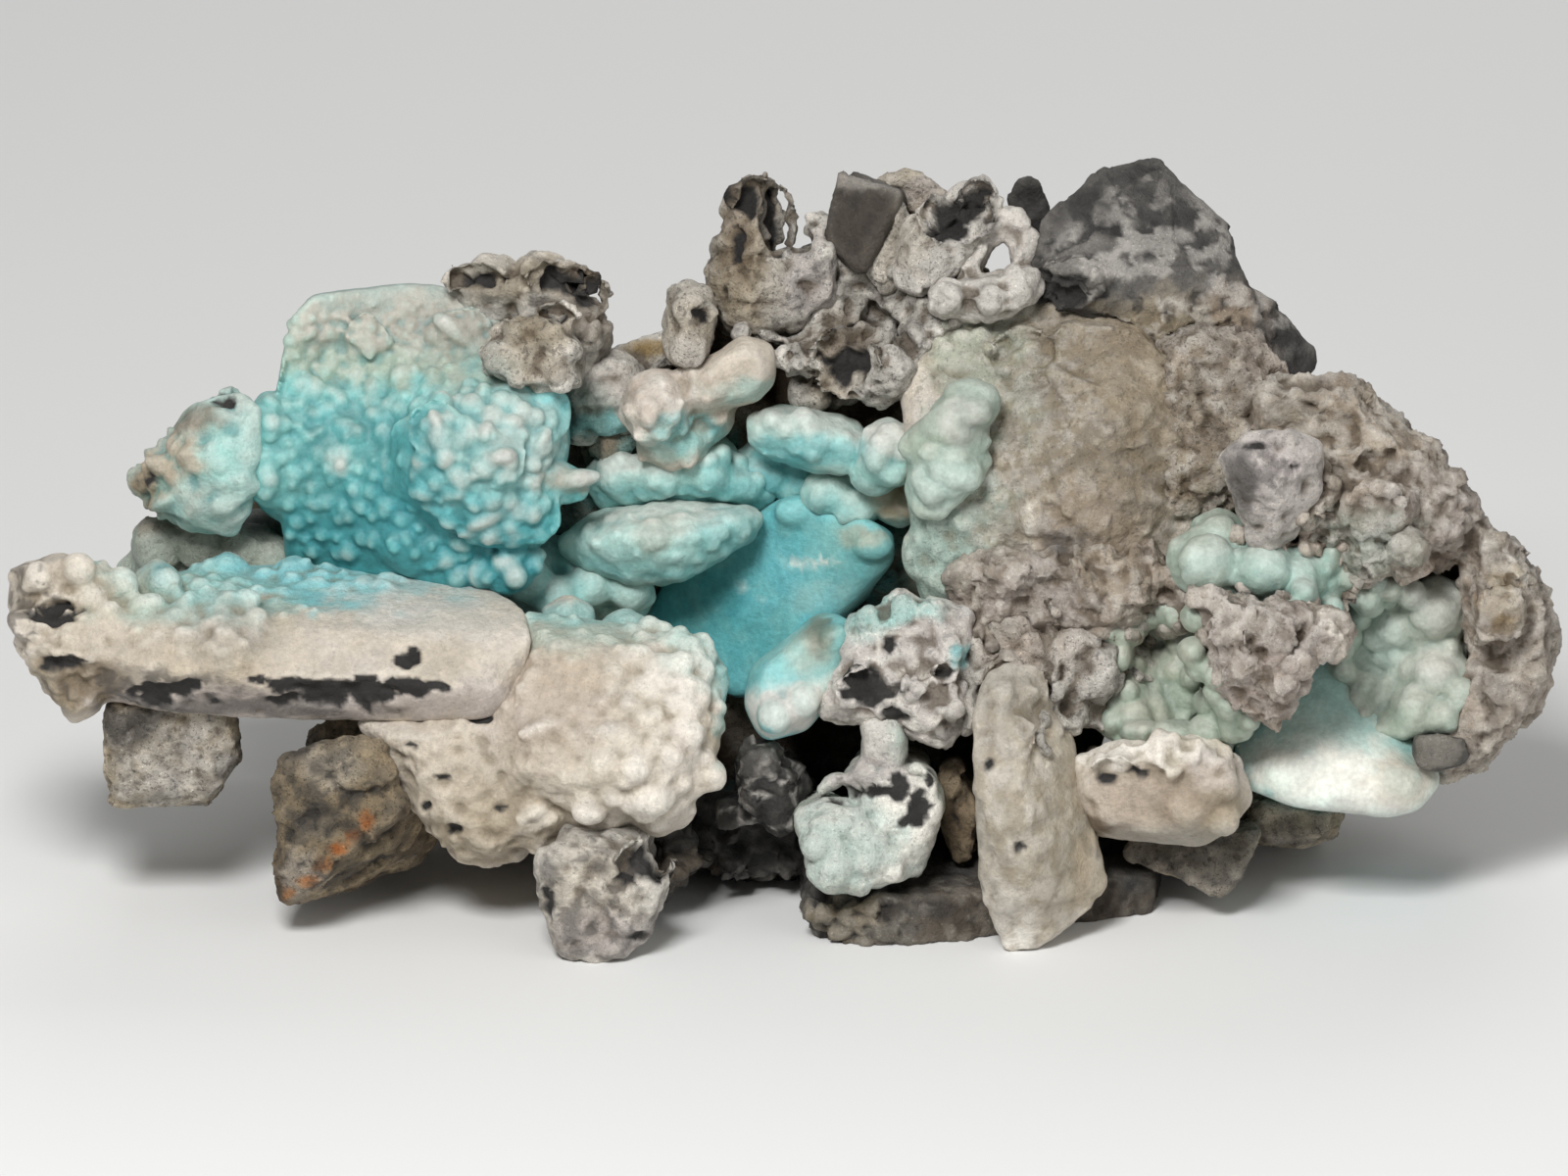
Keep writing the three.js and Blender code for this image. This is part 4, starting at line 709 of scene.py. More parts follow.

# The pieces: each has a finish, and may have its own grain, soften, even and melt. In what follows an oval
# is across, up, reach across and reach up, in millimetres as the camera sees it.
# presses: forms flattened: oval, strength.
# lumps: across, up, radius, and for other than plain balls width, height and depth as factors and a turn.
# studs: scattered lumps: oval, spacing, least and most radius.
# rims: broken edges of crust: oval, height, thickness, and the angles at which the edge starts and ends.
# fills: lumps that close the gaps behind: oval, spacing, radius, sink.
# plugs: lumps deep in the rock that close a hole through it: across, up, back, radius.
# relief: kind, size, height, and an oval where it isn't all over the piece.
# chips: places where the crust is broken to the dark rock: oval, depth.
# stains: colour, oval, strength.
# veins: size, strength, colour.
# specks: size, strength, colour, oval.
# tips: the colour of what stands out, from a least to a most height over the solid, and its strength.
# crest: how strongly the crests take their painted highlight.
PIECES = {
    "left_ledge": {
        "finish": "cream_crust",
        "grain": 0.42,
        "soften": 3,
        "presses": [(-71, 42, 6, 4, 0.85)],
        "lumps": [
            (-87.5, 46.6, 2.4), (-83.5, 48.6, 2.4), (-89, 50.6, 2.2), (-78.2, 48.6, 2.4),
            (-80.6, 45.6, 2.0, 1.4, 1, 1, 30), (-72.4, 43.6, 1.5, 1.8, 0.8, 0.8, 24),
            (-70.0, 42.0, 1.3, 1.6, 0.9, 0.8, -30), (-94, 49.5, 2.0),
            (-68.4, 40.8, 1.2, 1.3, 0.9, 0.8, 30), (-71.8, 40.6, 1.1, 1.5, 0.8, 0.8, 0),
            (-66.5, 43.9, 1.8), (-68.2, 46.4, 1.7, 1.5, 1, 1, 20), (-74.6, 42.0, 1.6, 1.6, 0.9, 0.7, -10),
        ],
        "studs": [
            (-62, 49.4, 15, 2.2, 1.9, 0.7, 1.4), (-77, 47.0, 8, 2.6, 2.1, 0.8, 1.5),
            (-90, 48.0, 7, 4.5, 2.6, 0.8, 1.6), (-74, 42.5, 8, 3.2, 2.4, 0.6, 1.2),
            (-68, 45, 9, 2.6, 2.2, 0.6, 1.2),
        ],
        "rims": [
            (-91.5, 45.2, 2.8, 1.6, 1.0, 0.8, 0, 360), (-95.6, 49.4, 2.0, 1.4, 1.0, 0.8, 20, 200),
            (-86.0, 51.5, 2.2, 1.5, 1.4, 0.8, 10, 200),
        ],
        "relief": [("crumbly", 2.4, 0.7, (-92, 38, 7, 6)), ("pitted", 1.8, 0.5, (-68, 34.5, 26, 2.6))],
        "chips": [
            (-47.6, 39.0, 1.4, 0.8, 0.5), (-46.5, 39.9, 0.8, 1.1, 0.5), (-91.5, 45.2, 2.4, 1.2, 1.0),
            (-91.0, 38.4, 2.6, 1.1, 0.5), (-65.8, 36.5, 2.2, 0.6, 0.3), (-61.5, 35.5, 3.4, 1.0, 0.5),
            (-56.8, 34.9, 3.8, 1.6, 0.6), (-52.0, 34.7, 3.2, 1.8, 0.6), (-47.4, 35.5, 3.0, 1.2, 0.5),
            (-43.8, 35.6, 2.0, 0.7, 0.4), (-63.6, 34.0, 2.0, 0.6, 0.4), (-79.6, 34.5, 3.2, 1.5, 0.5),
            (-75.8, 35.6, 2.6, 1.0, 0.4), (-71.6, 33.6, 1.2, 0.5, 0.3), (-52.6, 36.8, 1.5, 0.5, 0.3),
        ],
        "stains": [
            ("sky", -60, 50.0, 20, 4.2, 0.9), ("aqua", -74, 46.5, 12, 3.0, 0.6),
            ("aqua", -78, 48.5, 8, 3, 0.5), ("lilac", -60, 33.5, 34, 2.6, 0.6),
            ("buff", -88, 44, 9, 7, 0.4), ("tan", -92, 35, 6, 4, 0.8), ("dust", -45, 46, 10, 4, 0.6),
            ("ash", -70, 43.5, 7, 4, 0.45), ("slate", -66, 33.0, 16, 1.2, 0.5),
            ("brown", -88, 36.4, 5, 2.4, 0.5),
        ],
        "specks": [(1.4, 0.45, "slate", (-96, 47, 4, 6)), (1.6, 0.5, "slate", (-80, 35, 12, 3))],
        "tips": ("ivory", 0.5, 1.5, 0.35),
    },
    "hanging_block_left": {
        "finish": "tan_stone",
        "stains": [
            # The slate stain at -82, 31 is painted shadow cast by the ledge above the block.
            ("dust", -76, 25, 10, 6, 0.6), ("slate", -82, 31, 4, 3, 0.7), ("slate", -68, 24, 3, 4, 0.5),
        ],
        "specks": [(1.4, 0.35, "slate", (-77, 27, 10, 8)), (1.8, 0.45, "dust", (-76, 26, 9, 8))],
    },
    "rusty_wedge": {
        "finish": "brown_stone",
        "stains": [
            ("tan", -56, 22, 9, 9, 0.8), ("dust", -61, 12, 3, 3, 0.5), ("dust", -57, 25, 4, 3, 0.4),
            ("rust", -52.6, 18.8, 0.9, 1.1, 0.8), ("rust", -54.2, 16.8, 1.1, 0.9, 0.9),
            ("rust", -56.2, 15.0, 1.3, 0.8, 0.85), ("rust", -58.4, 13.0, 1.2, 0.8, 0.7),
            ("rust", -60.4, 11.0, 1.4, 0.7, 0.7), ("rust", -62.4, 9.4, 1.2, 0.6, 0.6),
            ("slate", -62, 28, 4, 1.6, 0.7), ("slate", -59, 19, 3, 2, 0.5),
        ],
        "specks": [(1.6, 0.5, "slate", (-57, 18, 9, 11))],
    },
    "cream_block": {
        "finish": "cream_crust",
        "grain": 0.42,
        "soften": 10,
        "presses": [(-16, 25, 12, 10, 0.55), (-26, 32, 13, 8, 0.6)],
        "lumps": [
            (-31.4, 19.4, 2.2, 1.3, 1, 1, 0), (-24.6, 20.4, 2.2), (-16.6, 21.6, 2.4, 1.3, 1, 1, 20),
            (-18.6, 25.4, 2.0), (-9, 24.4, 2.0), (-30, 30.4, 2.2, 1.8, 0.7, 0.6, 12),
            (-21, 29.4, 2.0, 1.7, 0.8, 0.6, -8), (-12.4, 29.6, 1.9, 1.3, 1, 0.8, 0),
        ],
        "studs": [
            (-14.0, 36.5, 8.5, 8.5, 2.2, 0.8, 1.6), (-27, 40, 11, 5, 2.4, 0.5, 1.1),
            (-15, 23.5, 11, 5, 3.0, 0.8, 1.7), (-8.4, 29, 2.6, 9, 2.4, 0.9, 1.6),
            (-26, 33, 9, 6, 3.0, 0.5, 1.2), (-14, 38.6, 5, 4.6, 2.6, 1.1, 1.8),
        ],
        "relief": [
            ("pitted", 1.6, 0.5, (-41, 21, 14, 13)), ("grainy", 2.4, 0.7, (-40, 20, 15, 12)),
            ("crumbly", 1.8, 0.35, (-40, 19, 14, 11)), ("lumpy", 2.4, 0.3, (-18, 30, 16, 16)),
        ],
        "chips": [
            (-41.9, 17.4, 1.1, 1.0, 0.8), (-43, 24.4, 1.1, 0.5, 0.5), (-47.4, 28.2, 0.9, 0.5, 0.5),
            (-35.6, 20.2, 0.8, 0.5, 0.5), (-38, 31.8, 1.2, 0.5, 0.5), (-45, 20.6, 0.6, 0.5, 0.5),
        ],
        "stains": [
            ("turquoise", -5.5, 36, 3.2, 9, 0.7), ("aqua", -9, 41, 6, 5, 0.6),
            ("turquoise", -23, 45, 13, 1.6, 0.55), ("aqua", -25, 43, 14, 2.6, 0.4),
            ("buff", -42, 22, 12, 12, 0.5), ("rose_tan", -30, 34, 7, 8, 0.4),
            ("tan", -38, 15, 8, 5, 0.45), ("ivory", -14, 37, 6, 6, 0.45), ("ivory", -20, 24, 12, 6, 0.3),
        ],
        "tips": ("ivory", 0.5, 1.6, 0.5),
    },
    "front_foot_wedge": {
        "finish": "ash_crust",
        "rims": [(-17.4, 13.4, 3.2, 2.6, 1.4, 0.8, 90, 380), (-20.6, 10.6, 1.8, 1.4, 1.0, 0.7, 180, 400)],
        "relief": [("crumbly", 3.4, 0.7, (-17, 14, 6, 5)), ("pitted", 2.4, 0.7, (-24, 8, 9, 9))],
        "chips": [
            (-16.6, 13.6, 2.6, 2.0, 1.0), (-20, 11.2, 1.4, 0.8, 0.7), (-30, 9, 0.9, 2.2, 0.5),
            (-18, 4, 1.2, 0.7, 0.5),
        ],
        "stains": [("buff", -25, 9, 6, 7, 0.4), ("lilac", -22, 4, 8, 3, 0.5)],
        "specks": [(1.2, 0.45, "slate", (-24, 9, 8, 9))],
    },
    "dark_rubble": {
        "finish": "dark_stone",
        "relief": [("crumbly", 4.0, 1.0, (-6, 12, 14, 8)), ("crumbly", 2.0, 0.5, (-6, 12, 14, 8))],
        "stains": [("brown", -12, 12, 4, 3, 0.6), ("ash", -2, 10, 3, 2, 0.4)],
    },
    "dark_knob": {
        "finish": "dark_stone",
        "relief": [("split", 3.4, 0.8, (-1.6, 24, 6, 6))],
        "veins": (2.4, 0.9, "dust"),
    },
    "lumpy_foot_stone": {
        "finish": "sea_crust",
        "grain": 0.42,
        "lumps": [(6.6, 12.8, 2.2), (10.6, 13.6, 2.1), (9.4, 10.9, 1.8)],
        "studs": [(8.2, 15.6, 5.4, 5, 2.2, 1.0, 1.7), (13.6, 11.6, 2.6, 2.4, 2.4, 1.0, 1.6)],
        "rims": [(16.6, 20.6, 2.6, 4.6, 0.9, 0.7, -90, 110), (8.4, 22.2, 3.4, 1.7, 1.2, 0.7, 0, 300)],
        "chips": [
            (17.0, 20.4, 1.3, 3.2, 0.5), (14.6, 22.6, 1.0, 1.4, 0.4), (15.2, 18.4, 0.8, 0.8, 0.4),
            (7.4, 22.0, 2.4, 1.2, 0.9), (11.6, 22.4, 1.4, 0.8, 0.6), (18.6, 24, 0.7, 1.6, 0.5),
        ],
        "stains": [
            ("dust", 12, 18, 12, 13, 0.7), ("ivory", 16, 20, 5, 6, 0.9), ("dust", 10.4, 28, 3, 6, 0.7),
            ("lilac", 10, 25, 5, 3, 0.6), ("pale_aqua", 8, 15.6, 7, 6, 0.6),
            ("dust", 10.4, 31, 3, 4.5, 0.8), ("ivory", 14, 11, 3, 2, 0.6),
        ],
        "veins": (2.6, 0.35, "ivory"),
    },
    "base_plate": {
        "finish": "dark_stone",
        "relief": [("crumbly", 3.0, 0.9, (8, 6, 8, 6))],
        "stains": [("tan", 7, 6, 6, 3, 0.75), ("ash", 16, 4, 9, 3, 0.5), ("brown", 34, 6, 20, 5, 0.5)],
        "specks": [(1.6, 0.45, "ash", (22, 5, 30, 7))],
    },
    "side_sliver": {"finish": "brown_stone"},
    "long_foot_wedge": {
        "finish": "cream_crust",
        "soften": 5,
        "presses": [(30, 20, 8, 20, 0.7)],
        "lumps": [(31.4, 35, 1.6), (27.6, 34.4, 1.5), (34.6, 30.2, 1.4)],
        "studs": [(30, 33, 4, 6, 2.4, 0.6, 1.3)],
        "relief": [
            ("grainy", 2.6, 0.3), ("split", 7.0, 0.35), ("pitted", 1.4, 0.3),
            ("grainy", 1.4, 0.14, (30, 12, 9, 12)), ("crumbly", 2.0, 0.4, (30, 33, 6, 7)),
        ],
        "chips": [(29.8, 15.4, 0.9, 0.6, 0.7), (26, 26, 0.4, 0.6, 0.4)],
        "stains": [
            ("ash", 30, 22, 9, 22, 0.55), ("buff", 31, 24, 6, 14, 0.3), ("tan", 34, 12, 6, 8, 0.35),
            ("ash", 29, 34, 6, 5, 0.5), ("ash", 30, 14, 6, 6, 0.35), ("dust", 28, 6, 4, 5, 0.4),
            ("ivory", 29.8, 3.4, 1.6, 1.4, 0.8),
        ],
        "specks": [(1.3, 0.3, "tan", (30, 18, 8, 18)), (2.2, 0.3, "ivory", (30, 16, 8, 16))],
    },
    "lower_right_block": {
        "finish": "cream_crust",
        "soften": 8,
        "studs": [(48, 27.4, 9, 2.0, 2.2, 0.8, 1.5), (54.6, 21.6, 3, 3, 3.0, 1.4, 2.4)],
        "rims": [(41.5, 25.0, 2.4, 1.6, 1.4, 0.8, 10, 190)],
        "relief": [("crumbly", 2.4, 0.9, (47, 26.5, 11, 2.8)), ("pitted", 2.0, 0.6, (41, 21, 5, 5))],
        "chips": [(40.6, 23.8, 1.2, 0.7, 0.8), (44.4, 24.6, 1.6, 0.5, 0.6)],
        "stains": [
            ("buff", 48, 21, 10, 5, 0.6), ("tan", 53, 20, 5, 3.4, 0.5), ("rose_tan", 46, 21, 9, 4, 0.5),
            ("ash", 50, 16.6, 9, 2, 0.6), ("brown", 38.8, 17.4, 2.4, 2.4, 0.9),
            ("ivory", 47, 27.4, 9, 2, 0.7), ("lilac", 55, 25, 4, 2.5, 0.4),
        ],
    },
    "hanging_tooth": {
        "finish": "tan_stone",
        # The slate stain is painted shade on the stone that lies in shadow under the pocket slab.
        "stains": [("slate", 56, 12, 16, 8, 0.55), ("ash", 55, 12, 4, 3, 0.5)],
        "specks": [(1.4, 0.4, "slate", (56, 12, 14, 8))],
    },
    "hanging_crust": {
        "finish": "rubble",
        "grain": 0.42,
        "studs": [
            (61, 38.6, 7, 8, 2.4, 0.9, 1.8), (68, 43.5, 4, 2.6, 2.2, 0.8, 1.6),
            (54, 45, 3, 4, 2.4, 0.9, 1.5),
        ],
        "fills": [(66, 52, 9, 7, 2.0, 1.3, 1.6)],
        "stains": [
            ("lilac", 60, 40, 9, 9, 0.35), ("ivory", 69, 44, 2.6, 2, 0.5), ("dust", 56, 46, 5, 3, 0.5),
        ],
        "specks": [(1.4, 0.25, "brown", (62, 40, 10, 10)), (1.5, 0.4, "dust", (62, 40, 10, 10))],
    },
    "cone_stone": {
        "finish": "ash_crust",
        "presses": [(60, 61, 5, 6, 0.5)],
        "relief": [("pitted", 1.4, 0.35, (61, 60, 7, 8)), ("grainy", 4.0, 0.6, (61, 60, 7, 8))],
        "chips": [(64.6, 63.4, 1.0, 0.5, 0.4), (59.6, 66, 1.4, 0.5, 0.4)],
        "stains": [
            ("lilac", 61, 61, 8, 9, 0.7), ("dust", 63, 57, 4, 4, 0.5), ("slate", 57.5, 62, 2, 4, 0.6),
        ],
        "specks": [(1.6, 0.35, "slate", (60, 63, 6, 6))],
    },
    "pocket_crust": {
        "finish": "sea_crust",
        "grain": 0.45,
        "soften": 20,
        "presses": [(60, 50, 10, 6, 0.35), (50, 35, 12, 9, 0.4)],
        "lumps": [
            (53.2, 51.2, 3.3, 1.1, 1, 1, 0), (60.6, 50.4, 3.0, 1.1, 1, 1, 0), (65.2, 49.4, 2.6),
            (55.2, 55, 2.3), (45.2, 37.4, 2.6), (44.4, 31.6, 2.2), (49.2, 30.6, 2.0), (52, 34.4, 2.6),
            (57, 37.6, 2.6),
        ],
        "studs": [
            (60, 50, 9, 6, 2.2, 0.8, 1.5), (50, 35, 10, 9, 2.1, 0.8, 1.6), (62, 34, 6, 9, 3.0, 0.9, 1.6),
        ],
        "fills": [(50, 37, 12, 9, 2.0, 1.5, 1.4), (70, 47, 7, 6, 2.2, 1.5, 1.6)],
        "stains": [
            ("aqua", 62, 50, 7, 6, 0.5), ("pale_aqua", 63, 51, 4, 3, 0.5),
            ("pale_aqua", 54, 51, 4, 4, 0.5), ("aqua", 66, 38, 7, 8, 0.5),
            ("green_grey", 50, 36, 12, 10, 0.7), ("buff", 47, 40, 4, 4, 0.3),
            ("buff", 46, 32, 3, 2, 0.35),
        ],
    },
    "pocket_boulders": {
        "finish": "sea_crust",
        "soften": 20,
        "presses": [(80, 41, 9, 11, 0.4)],
        "lumps": [
            (77.4, 43, 2.5), (82.6, 44.8, 3.0), (82.6, 37.2, 2.8, 1, 0.9, 1, 0), (80, 32.6, 2.1),
            (83.8, 31.6, 1.8), (86.2, 34.8, 2.0),
        ],
        "studs": [(80, 43, 9, 6, 2.1, 0.8, 1.5), (82, 35, 6, 7, 2.1, 0.8, 1.5)],
        "fills": [(78, 39, 7, 10, 2.0, 1.4, 1.4)],
        "stains": [
            ("cream", 82.6, 38.6, 3, 2, 0.5), ("lilac", 84, 46, 4, 3, 0.3), ("aqua", 76, 41, 2.4, 4, 0.4),
            ("dust", 80, 40, 9, 9, 0.35),
        ],
    },
    "dark_chip": {"finish": "dark_stone", "stains": [("ash", 83, 27.4, 5, 3, 0.7)]},
    "pale_pocket_slab": {
        "finish": "smooth_blue",
        "soften": 16,
        "stains": [
            ("aqua", 70, 35, 14, 12, 0.8), ("pale_aqua", 73, 34, 12, 12, 0.55),
            ("pale_aqua", 66, 28, 9, 5, 0.7), ("ivory", 72, 21.0, 19, 7.0, 0.9),
            ("buff", 79, 24, 5, 4, 0.45), ("dust", 71, 16.5, 22, 4, 0.9), ("buff", 73.6, 35, 2, 2, 0.4),
            ("ivory", 61, 26, 4, 3, 0.4),
        ],
    },
    "cream_pillar": {
        "finish": "sea_crust",
        "soften": 16,
        "presses": [(21, 65, 5, 10, 0.6)],
        "lumps": [
            (24.2, 70.4, 2.0, 1.15, 0.95, 1, 0), (18.6, 60.6, 1.8), (19.0, 68.4, 1.8), (23.6, 62.0, 1.8),
        ],
        "studs": [(21, 65, 5, 9, 2.4, 0.9, 1.7)],
        "stains": [("pale_aqua", 20, 61, 5, 4, 0.6), ("lilac", 23, 69, 3, 3, 0.4)],
    },
    "olive_face": {
        "finish": "cream_crust",
        "grain": 0.42,
        "soften": 40,
        "presses": [
            (30, 78, 14, 12, 0.9), (41, 68, 15, 17, 0.92), (27, 56, 13, 13, 0.8), (34, 66, 20, 24, 0.4),
        ],
        "lumps": [
            (20.6, 48.4, 1.6), (20.4, 74, 1.3), (29.2, 64.5, 1.3, 1, 1.6, 0.6, 0),
            (36.5, 65.6, 1.2, 1, 1.9, 0.6, 0), (31.4, 57.0, 1.8, 0.8, 1.5, 0.9, 0),
        ],
        "studs": [
            (21.6, 52, 6.0, 7, 2.5, 0.8, 1.6), (25, 80, 8, 5, 2.6, 0.7, 1.5),
            (22, 62, 4, 6, 2.4, 0.6, 1.2), (24, 60, 5, 8, 3.4, 0.6, 1.3), (40, 60, 8, 8, 3.0, 0.4, 0.9),
        ],
        "relief": [
            ("pitted", 2.0, 0.4, (46, 61, 9, 9)), ("crumbly", 2.2, 0.5, (34, 52, 12, 4)),
            ("grainy", 1.6, 0.25, (36, 66, 18, 18)), ("split", 7.0, 0.8, (39, 70, 14, 16)),
            ("crumbly", 2.0, 0.4, (48, 66, 6, 16)), ("lumpy", 2.6, 0.5, (24, 78, 8, 7)),
        ],
        "stains": [
            ("olive", 37, 68, 15, 20, 0.85), ("tan", 46, 76, 6, 8, 0.5), ("aqua", 19, 52, 5, 8, 0.5),
            ("sea_grey", 22, 55, 8, 8, 0.7), ("green_grey", 25, 76, 7, 9, 0.6),
            ("ivory", 31.4, 56.6, 1.8, 2.6, 0.6), ("rose_tan", 36, 55, 10, 6, 0.4),
            ("slate", 36, 54.4, 3.4, 1.3, 0.6), ("brown", 44, 80, 4, 3, 0.4), ("ash", 31, 68, 4, 10, 0.4),
        ],
        "specks": [(1.6, 0.35, "tan", (38, 68, 15, 18)), (1.1, 0.4, "dust", (30, 70, 11, 18))],
    },
    "sparkling_crust": {
        "finish": "rubble",
        "relief": [("crumbly", 4.5, 0.8, (50, 66, 10, 10))],
        "stains": [
            ("tan", 49, 68, 9, 10, 0.6), ("brown", 46, 73, 6, 4, 0.35), ("dust", 54, 70, 6, 6, 0.3),
        ],
        "specks": [(1.2, 0.5, "dust", (50, 68, 14, 14)), (2.2, 0.35, "brown", (48, 70, 12, 12))],
    },
    "rubble_arc": {
        "finish": "rubble",
        "lumps": [(73.6, 52.2, 2.4), (78.8, 52.8, 2.4), (69.6, 50.2, 2.0)],
        "fills": [(74, 60, 10, 8, 2.0, 1.3, 1.4)],
        "stains": [
            ("tan", 70, 68, 10, 6, 0.35), ("amber", 91, 47, 3, 4, 0.5), ("sea_grey", 74, 54, 7, 4, 0.5),
            ("dust", 95, 45, 3, 10, 0.4), ("lilac", 82, 58, 8, 6, 0.3), ("slate", 90, 36, 2, 4, 0.35),
        ],
        "specks": [(2.6, 0.25, "brown", (82, 56, 26, 26)), (1.5, 0.5, "dust", (82, 56, 26, 26))],
    },
    "blue_botryoidal_block": {
        "finish": "blue_crust",
        "grain": 0.32,
        "soften": 30,
        "even": 1,
        "melt": 1,
        "crest_highlight": 0.6,
        "presses": [(-50, 78, 18, 10, 0.5), (-37, 63, 11, 12, 0.6), (-57, 63, 10, 14, 0.5)],
        "lumps": [
            (-64.8, 69, 1.5), (-65, 62, 1.4), (-43.6, 68.8, 1.3, 0.9, 1.7, 1.6, 25), (-31.4, 69.6, 1.4),
            (-40, 72.8, 1.1), (-31.8, 57.6, 1.6), (-45.6, 63.6, 1.2), (-35.4, 51.2, 1.9),
            (-34, 49.6, 1.8), (-56, 63.8, 1.3, 1, 1, 1.4, 0), (-37.6, 57.0, 1.6, 2.0, 0.9, 1.3, 28),
            (-26.6, 61.8, 1.6, 2.4, 0.85, 1, 8), (-41.6, 80.6, 1.3, 2.7, 0.95, 1, -38),
            (-37.6, 67.6, 1.2, 0.9, 1.3, 1.6, -15), (-52.6, 79.0, 1.2, 1, 1.8, 0.6, 10),
            (-35.4, 64.6, 1.4, 1.5, 0.9, 1.6, 10), (-30.4, 66.6, 1.2, 0.8, 1.7, 1.5, -30),
            (-33.2, 54.6, 1.4, 1.9, 0.8, 1.2, 30), (-39.6, 55.4, 1.3, 1.6, 0.9, 1.2, 24),
            (-46.4, 60.4, 1.1), (-32.4, 61.4, 1.3, 1.6, 0.8, 1.4, -12), (-41.0, 60.2, 1.2),
            (-34.2, 69.0, 1.2, 1.4, 0.9, 1.4, 0), (-38.8, 62.4, 1.1, 1.3, 0.9, 1.3, 20),
            (-53.4, 58.4, 1.1), (-60.4, 72.8, 1.1), (-58.0, 75.2, 0.9),
        ],
        "studs": [
            (-57, 65, 9, 13, 2.3, 0.95, 1.4), (-50, 79.5, 14, 5.0, 1.7, 0.6, 0.9),
            (-46.5, 57, 4.5, 7, 2.4, 0.8, 1.2), (-37.5, 64.5, 9.5, 9.5, 2.6, 1.15, 1.8),
            (-35.5, 52.5, 8, 4, 2.5, 1.1, 1.7), (-45, 72.5, 6, 3, 2.1, 0.8, 1.2),
        ],
        "stains": [
            # The deep blue stain at -48, 63 is painted shade in the recess between the block's two masses.
            ("deep_blue", -48, 53, 20, 7.0, 0.6), ("deep_blue", -48, 63, 4.5, 7, 0.35),
            ("aqua", -50, 73.5, 18, 3.6, 0.5), ("green_grey", -50, 79.5, 22, 5.4, 0.9),
            ("rose_tan", -48, 87, 24, 8, 0.6), ("dust", -50, 85, 24, 8, 0.4), ("ash", -42, 81, 8, 3, 0.5),
            ("pale_aqua", -36, 66, 9, 8, 0.5), ("deep_blue", -36, 50, 6, 3.4, 0.7),
            ("rose_tan", -27, 61.8, 3, 1.6, 0.7), ("dust", -33, 67, 5, 5, 0.4),
            ("aqua", -64, 66, 3, 9, 0.4), ("ivory", -56, 64, 1.8, 1.8, 0.4),
        ],
        "tips": ("dust", 0.4, 1.7, 0.75),
    },
    "left_fin": {
        "finish": "pale_crust",
        "soften": 3,
        "presses": [(-76, 63, 11, 11, 0.6)],
        "studs": [(-72, 62, 4, 7, 2.4, 0.5, 1.1)],
        "rims": [(-84.5, 61.0, 2.6, 4.6, 1.2, 0.8, 100, 260)],
        "relief": [
            ("crumbly", 2.4, 1.3, (-81, 63, 6, 8)), ("split", 4.0, 0.9),
            ("grainy", 2.4, 0.6, (-80, 63, 6, 8)),
        ],
        "chips": [(-80.4, 61.8, 0.8, 1.4, 0.6), (-70.6, 71.6, 1.4, 0.8, 0.8)],
        "stains": [
            ("buff", -80.6, 65, 6, 6.5, 0.95), ("tan", -82.5, 61, 3, 5, 0.8),
            ("brown", -77, 69.6, 6, 1.8, 0.7), ("dust", -72, 59, 4, 4, 0.3),
            ("brown", -81.5, 57.6, 2, 1.4, 0.6),
        ],
    },
    "grey_back_lumps": {
        "finish": "sea_crust",
        "lumps": [
            (-79.5, 53.4, 3.2), (-74, 54, 3.0), (-69, 52.8, 3.2), (-64.8, 51.8, 2.8), (-75.5, 51, 2.4),
            (-70.5, 55.6, 2.0), (-77.4, 56.4, 1.9), (-66.4, 54.6, 1.8),
        ],
        "studs": [(-72, 53, 11, 5, 2.4, 0.8, 1.7)],
        "stains": [
            ("ash", -74, 54, 12, 6, 0.4), ("slate", -68, 57, 4, 2.4, 0.5),
            ("brown", -79, 56.5, 3, 1.6, 0.6),
        ],
    },
    "tan_crown_stone": {
        "finish": "ash_crust",
        "grain": 0.42,
        "lumps": [
            (-36, 77, 2.3), (-33.4, 75, 2.1), (-28, 74.8, 2.2), (-29.6, 80.2, 2.3), (-27, 78, 2.0),
            (-37, 81, 1.8),
        ],
        "studs": [(-31.5, 78.5, 6, 5, 2.8, 1.0, 1.9)],
        "rims": [(-28.6, 82.0, 2.4, 1.8, 1.4, 0.8, 0, 200), (-31, 80.4, 4.0, 3.0, 1.0, 0.8, 150, 330)],
        "chips": [(-28.6, 82.6, 0.9, 0.6, 0.9)],
        "stains": [
            ("buff", -31.5, 79, 6, 5, 0.6), ("tan", -31, 81, 4, 2.4, 0.6),
            ("pale_aqua", -36, 76, 2.4, 2.4, 0.3),
        ],
    },
    "crown_shells": {
        "finish": "ash_crust",
        "grain": 0.42,
        "lumps": [(-31.6, 88.6, 1.9), (-24.4, 80, 2.2), (-35.6, 85.6, 1.8, 1.5, 1, 1, 0)],
        "rims": [
            (-39.0, 87.2, 3.4, 1.5, 2.2, 0.8, -20, 230), (-28.4, 87.2, 3.4, 1.7, 2.4, 0.8, -30, 210),
            (-25, 85.0, 2.4, 2.6, 1.6, 0.8, -60, 120),
        ],
        "relief": [("crumbly", 3.0, 0.7, (-27, 84, 6, 7))],
        "chips": [(-39.2, 87.2, 2.9, 0.9, 1.4), (-28.4, 87.0, 2.6, 1.2, 1.4), (-25, 85.4, 1.8, 1.8, 1.2)],
        "stains": [
            ("tan", -33, 88, 12, 3, 0.5), ("dust", -38, 88.8, 4, 2, 0.5), ("brown", -24, 84, 4, 5, 0.4),
        ],
    },
    "turquoise_lip": {
        "finish": "smooth_blue",
        "lumps": [(6.4, 41.8, 2.0), (2.6, 34, 2.2), (-1.2, 32, 2.2)],
        "stains": [
            ("aqua", 3, 38, 7, 7, 0.5), ("sea_grey", 5, 39, 3, 5, 0.35),
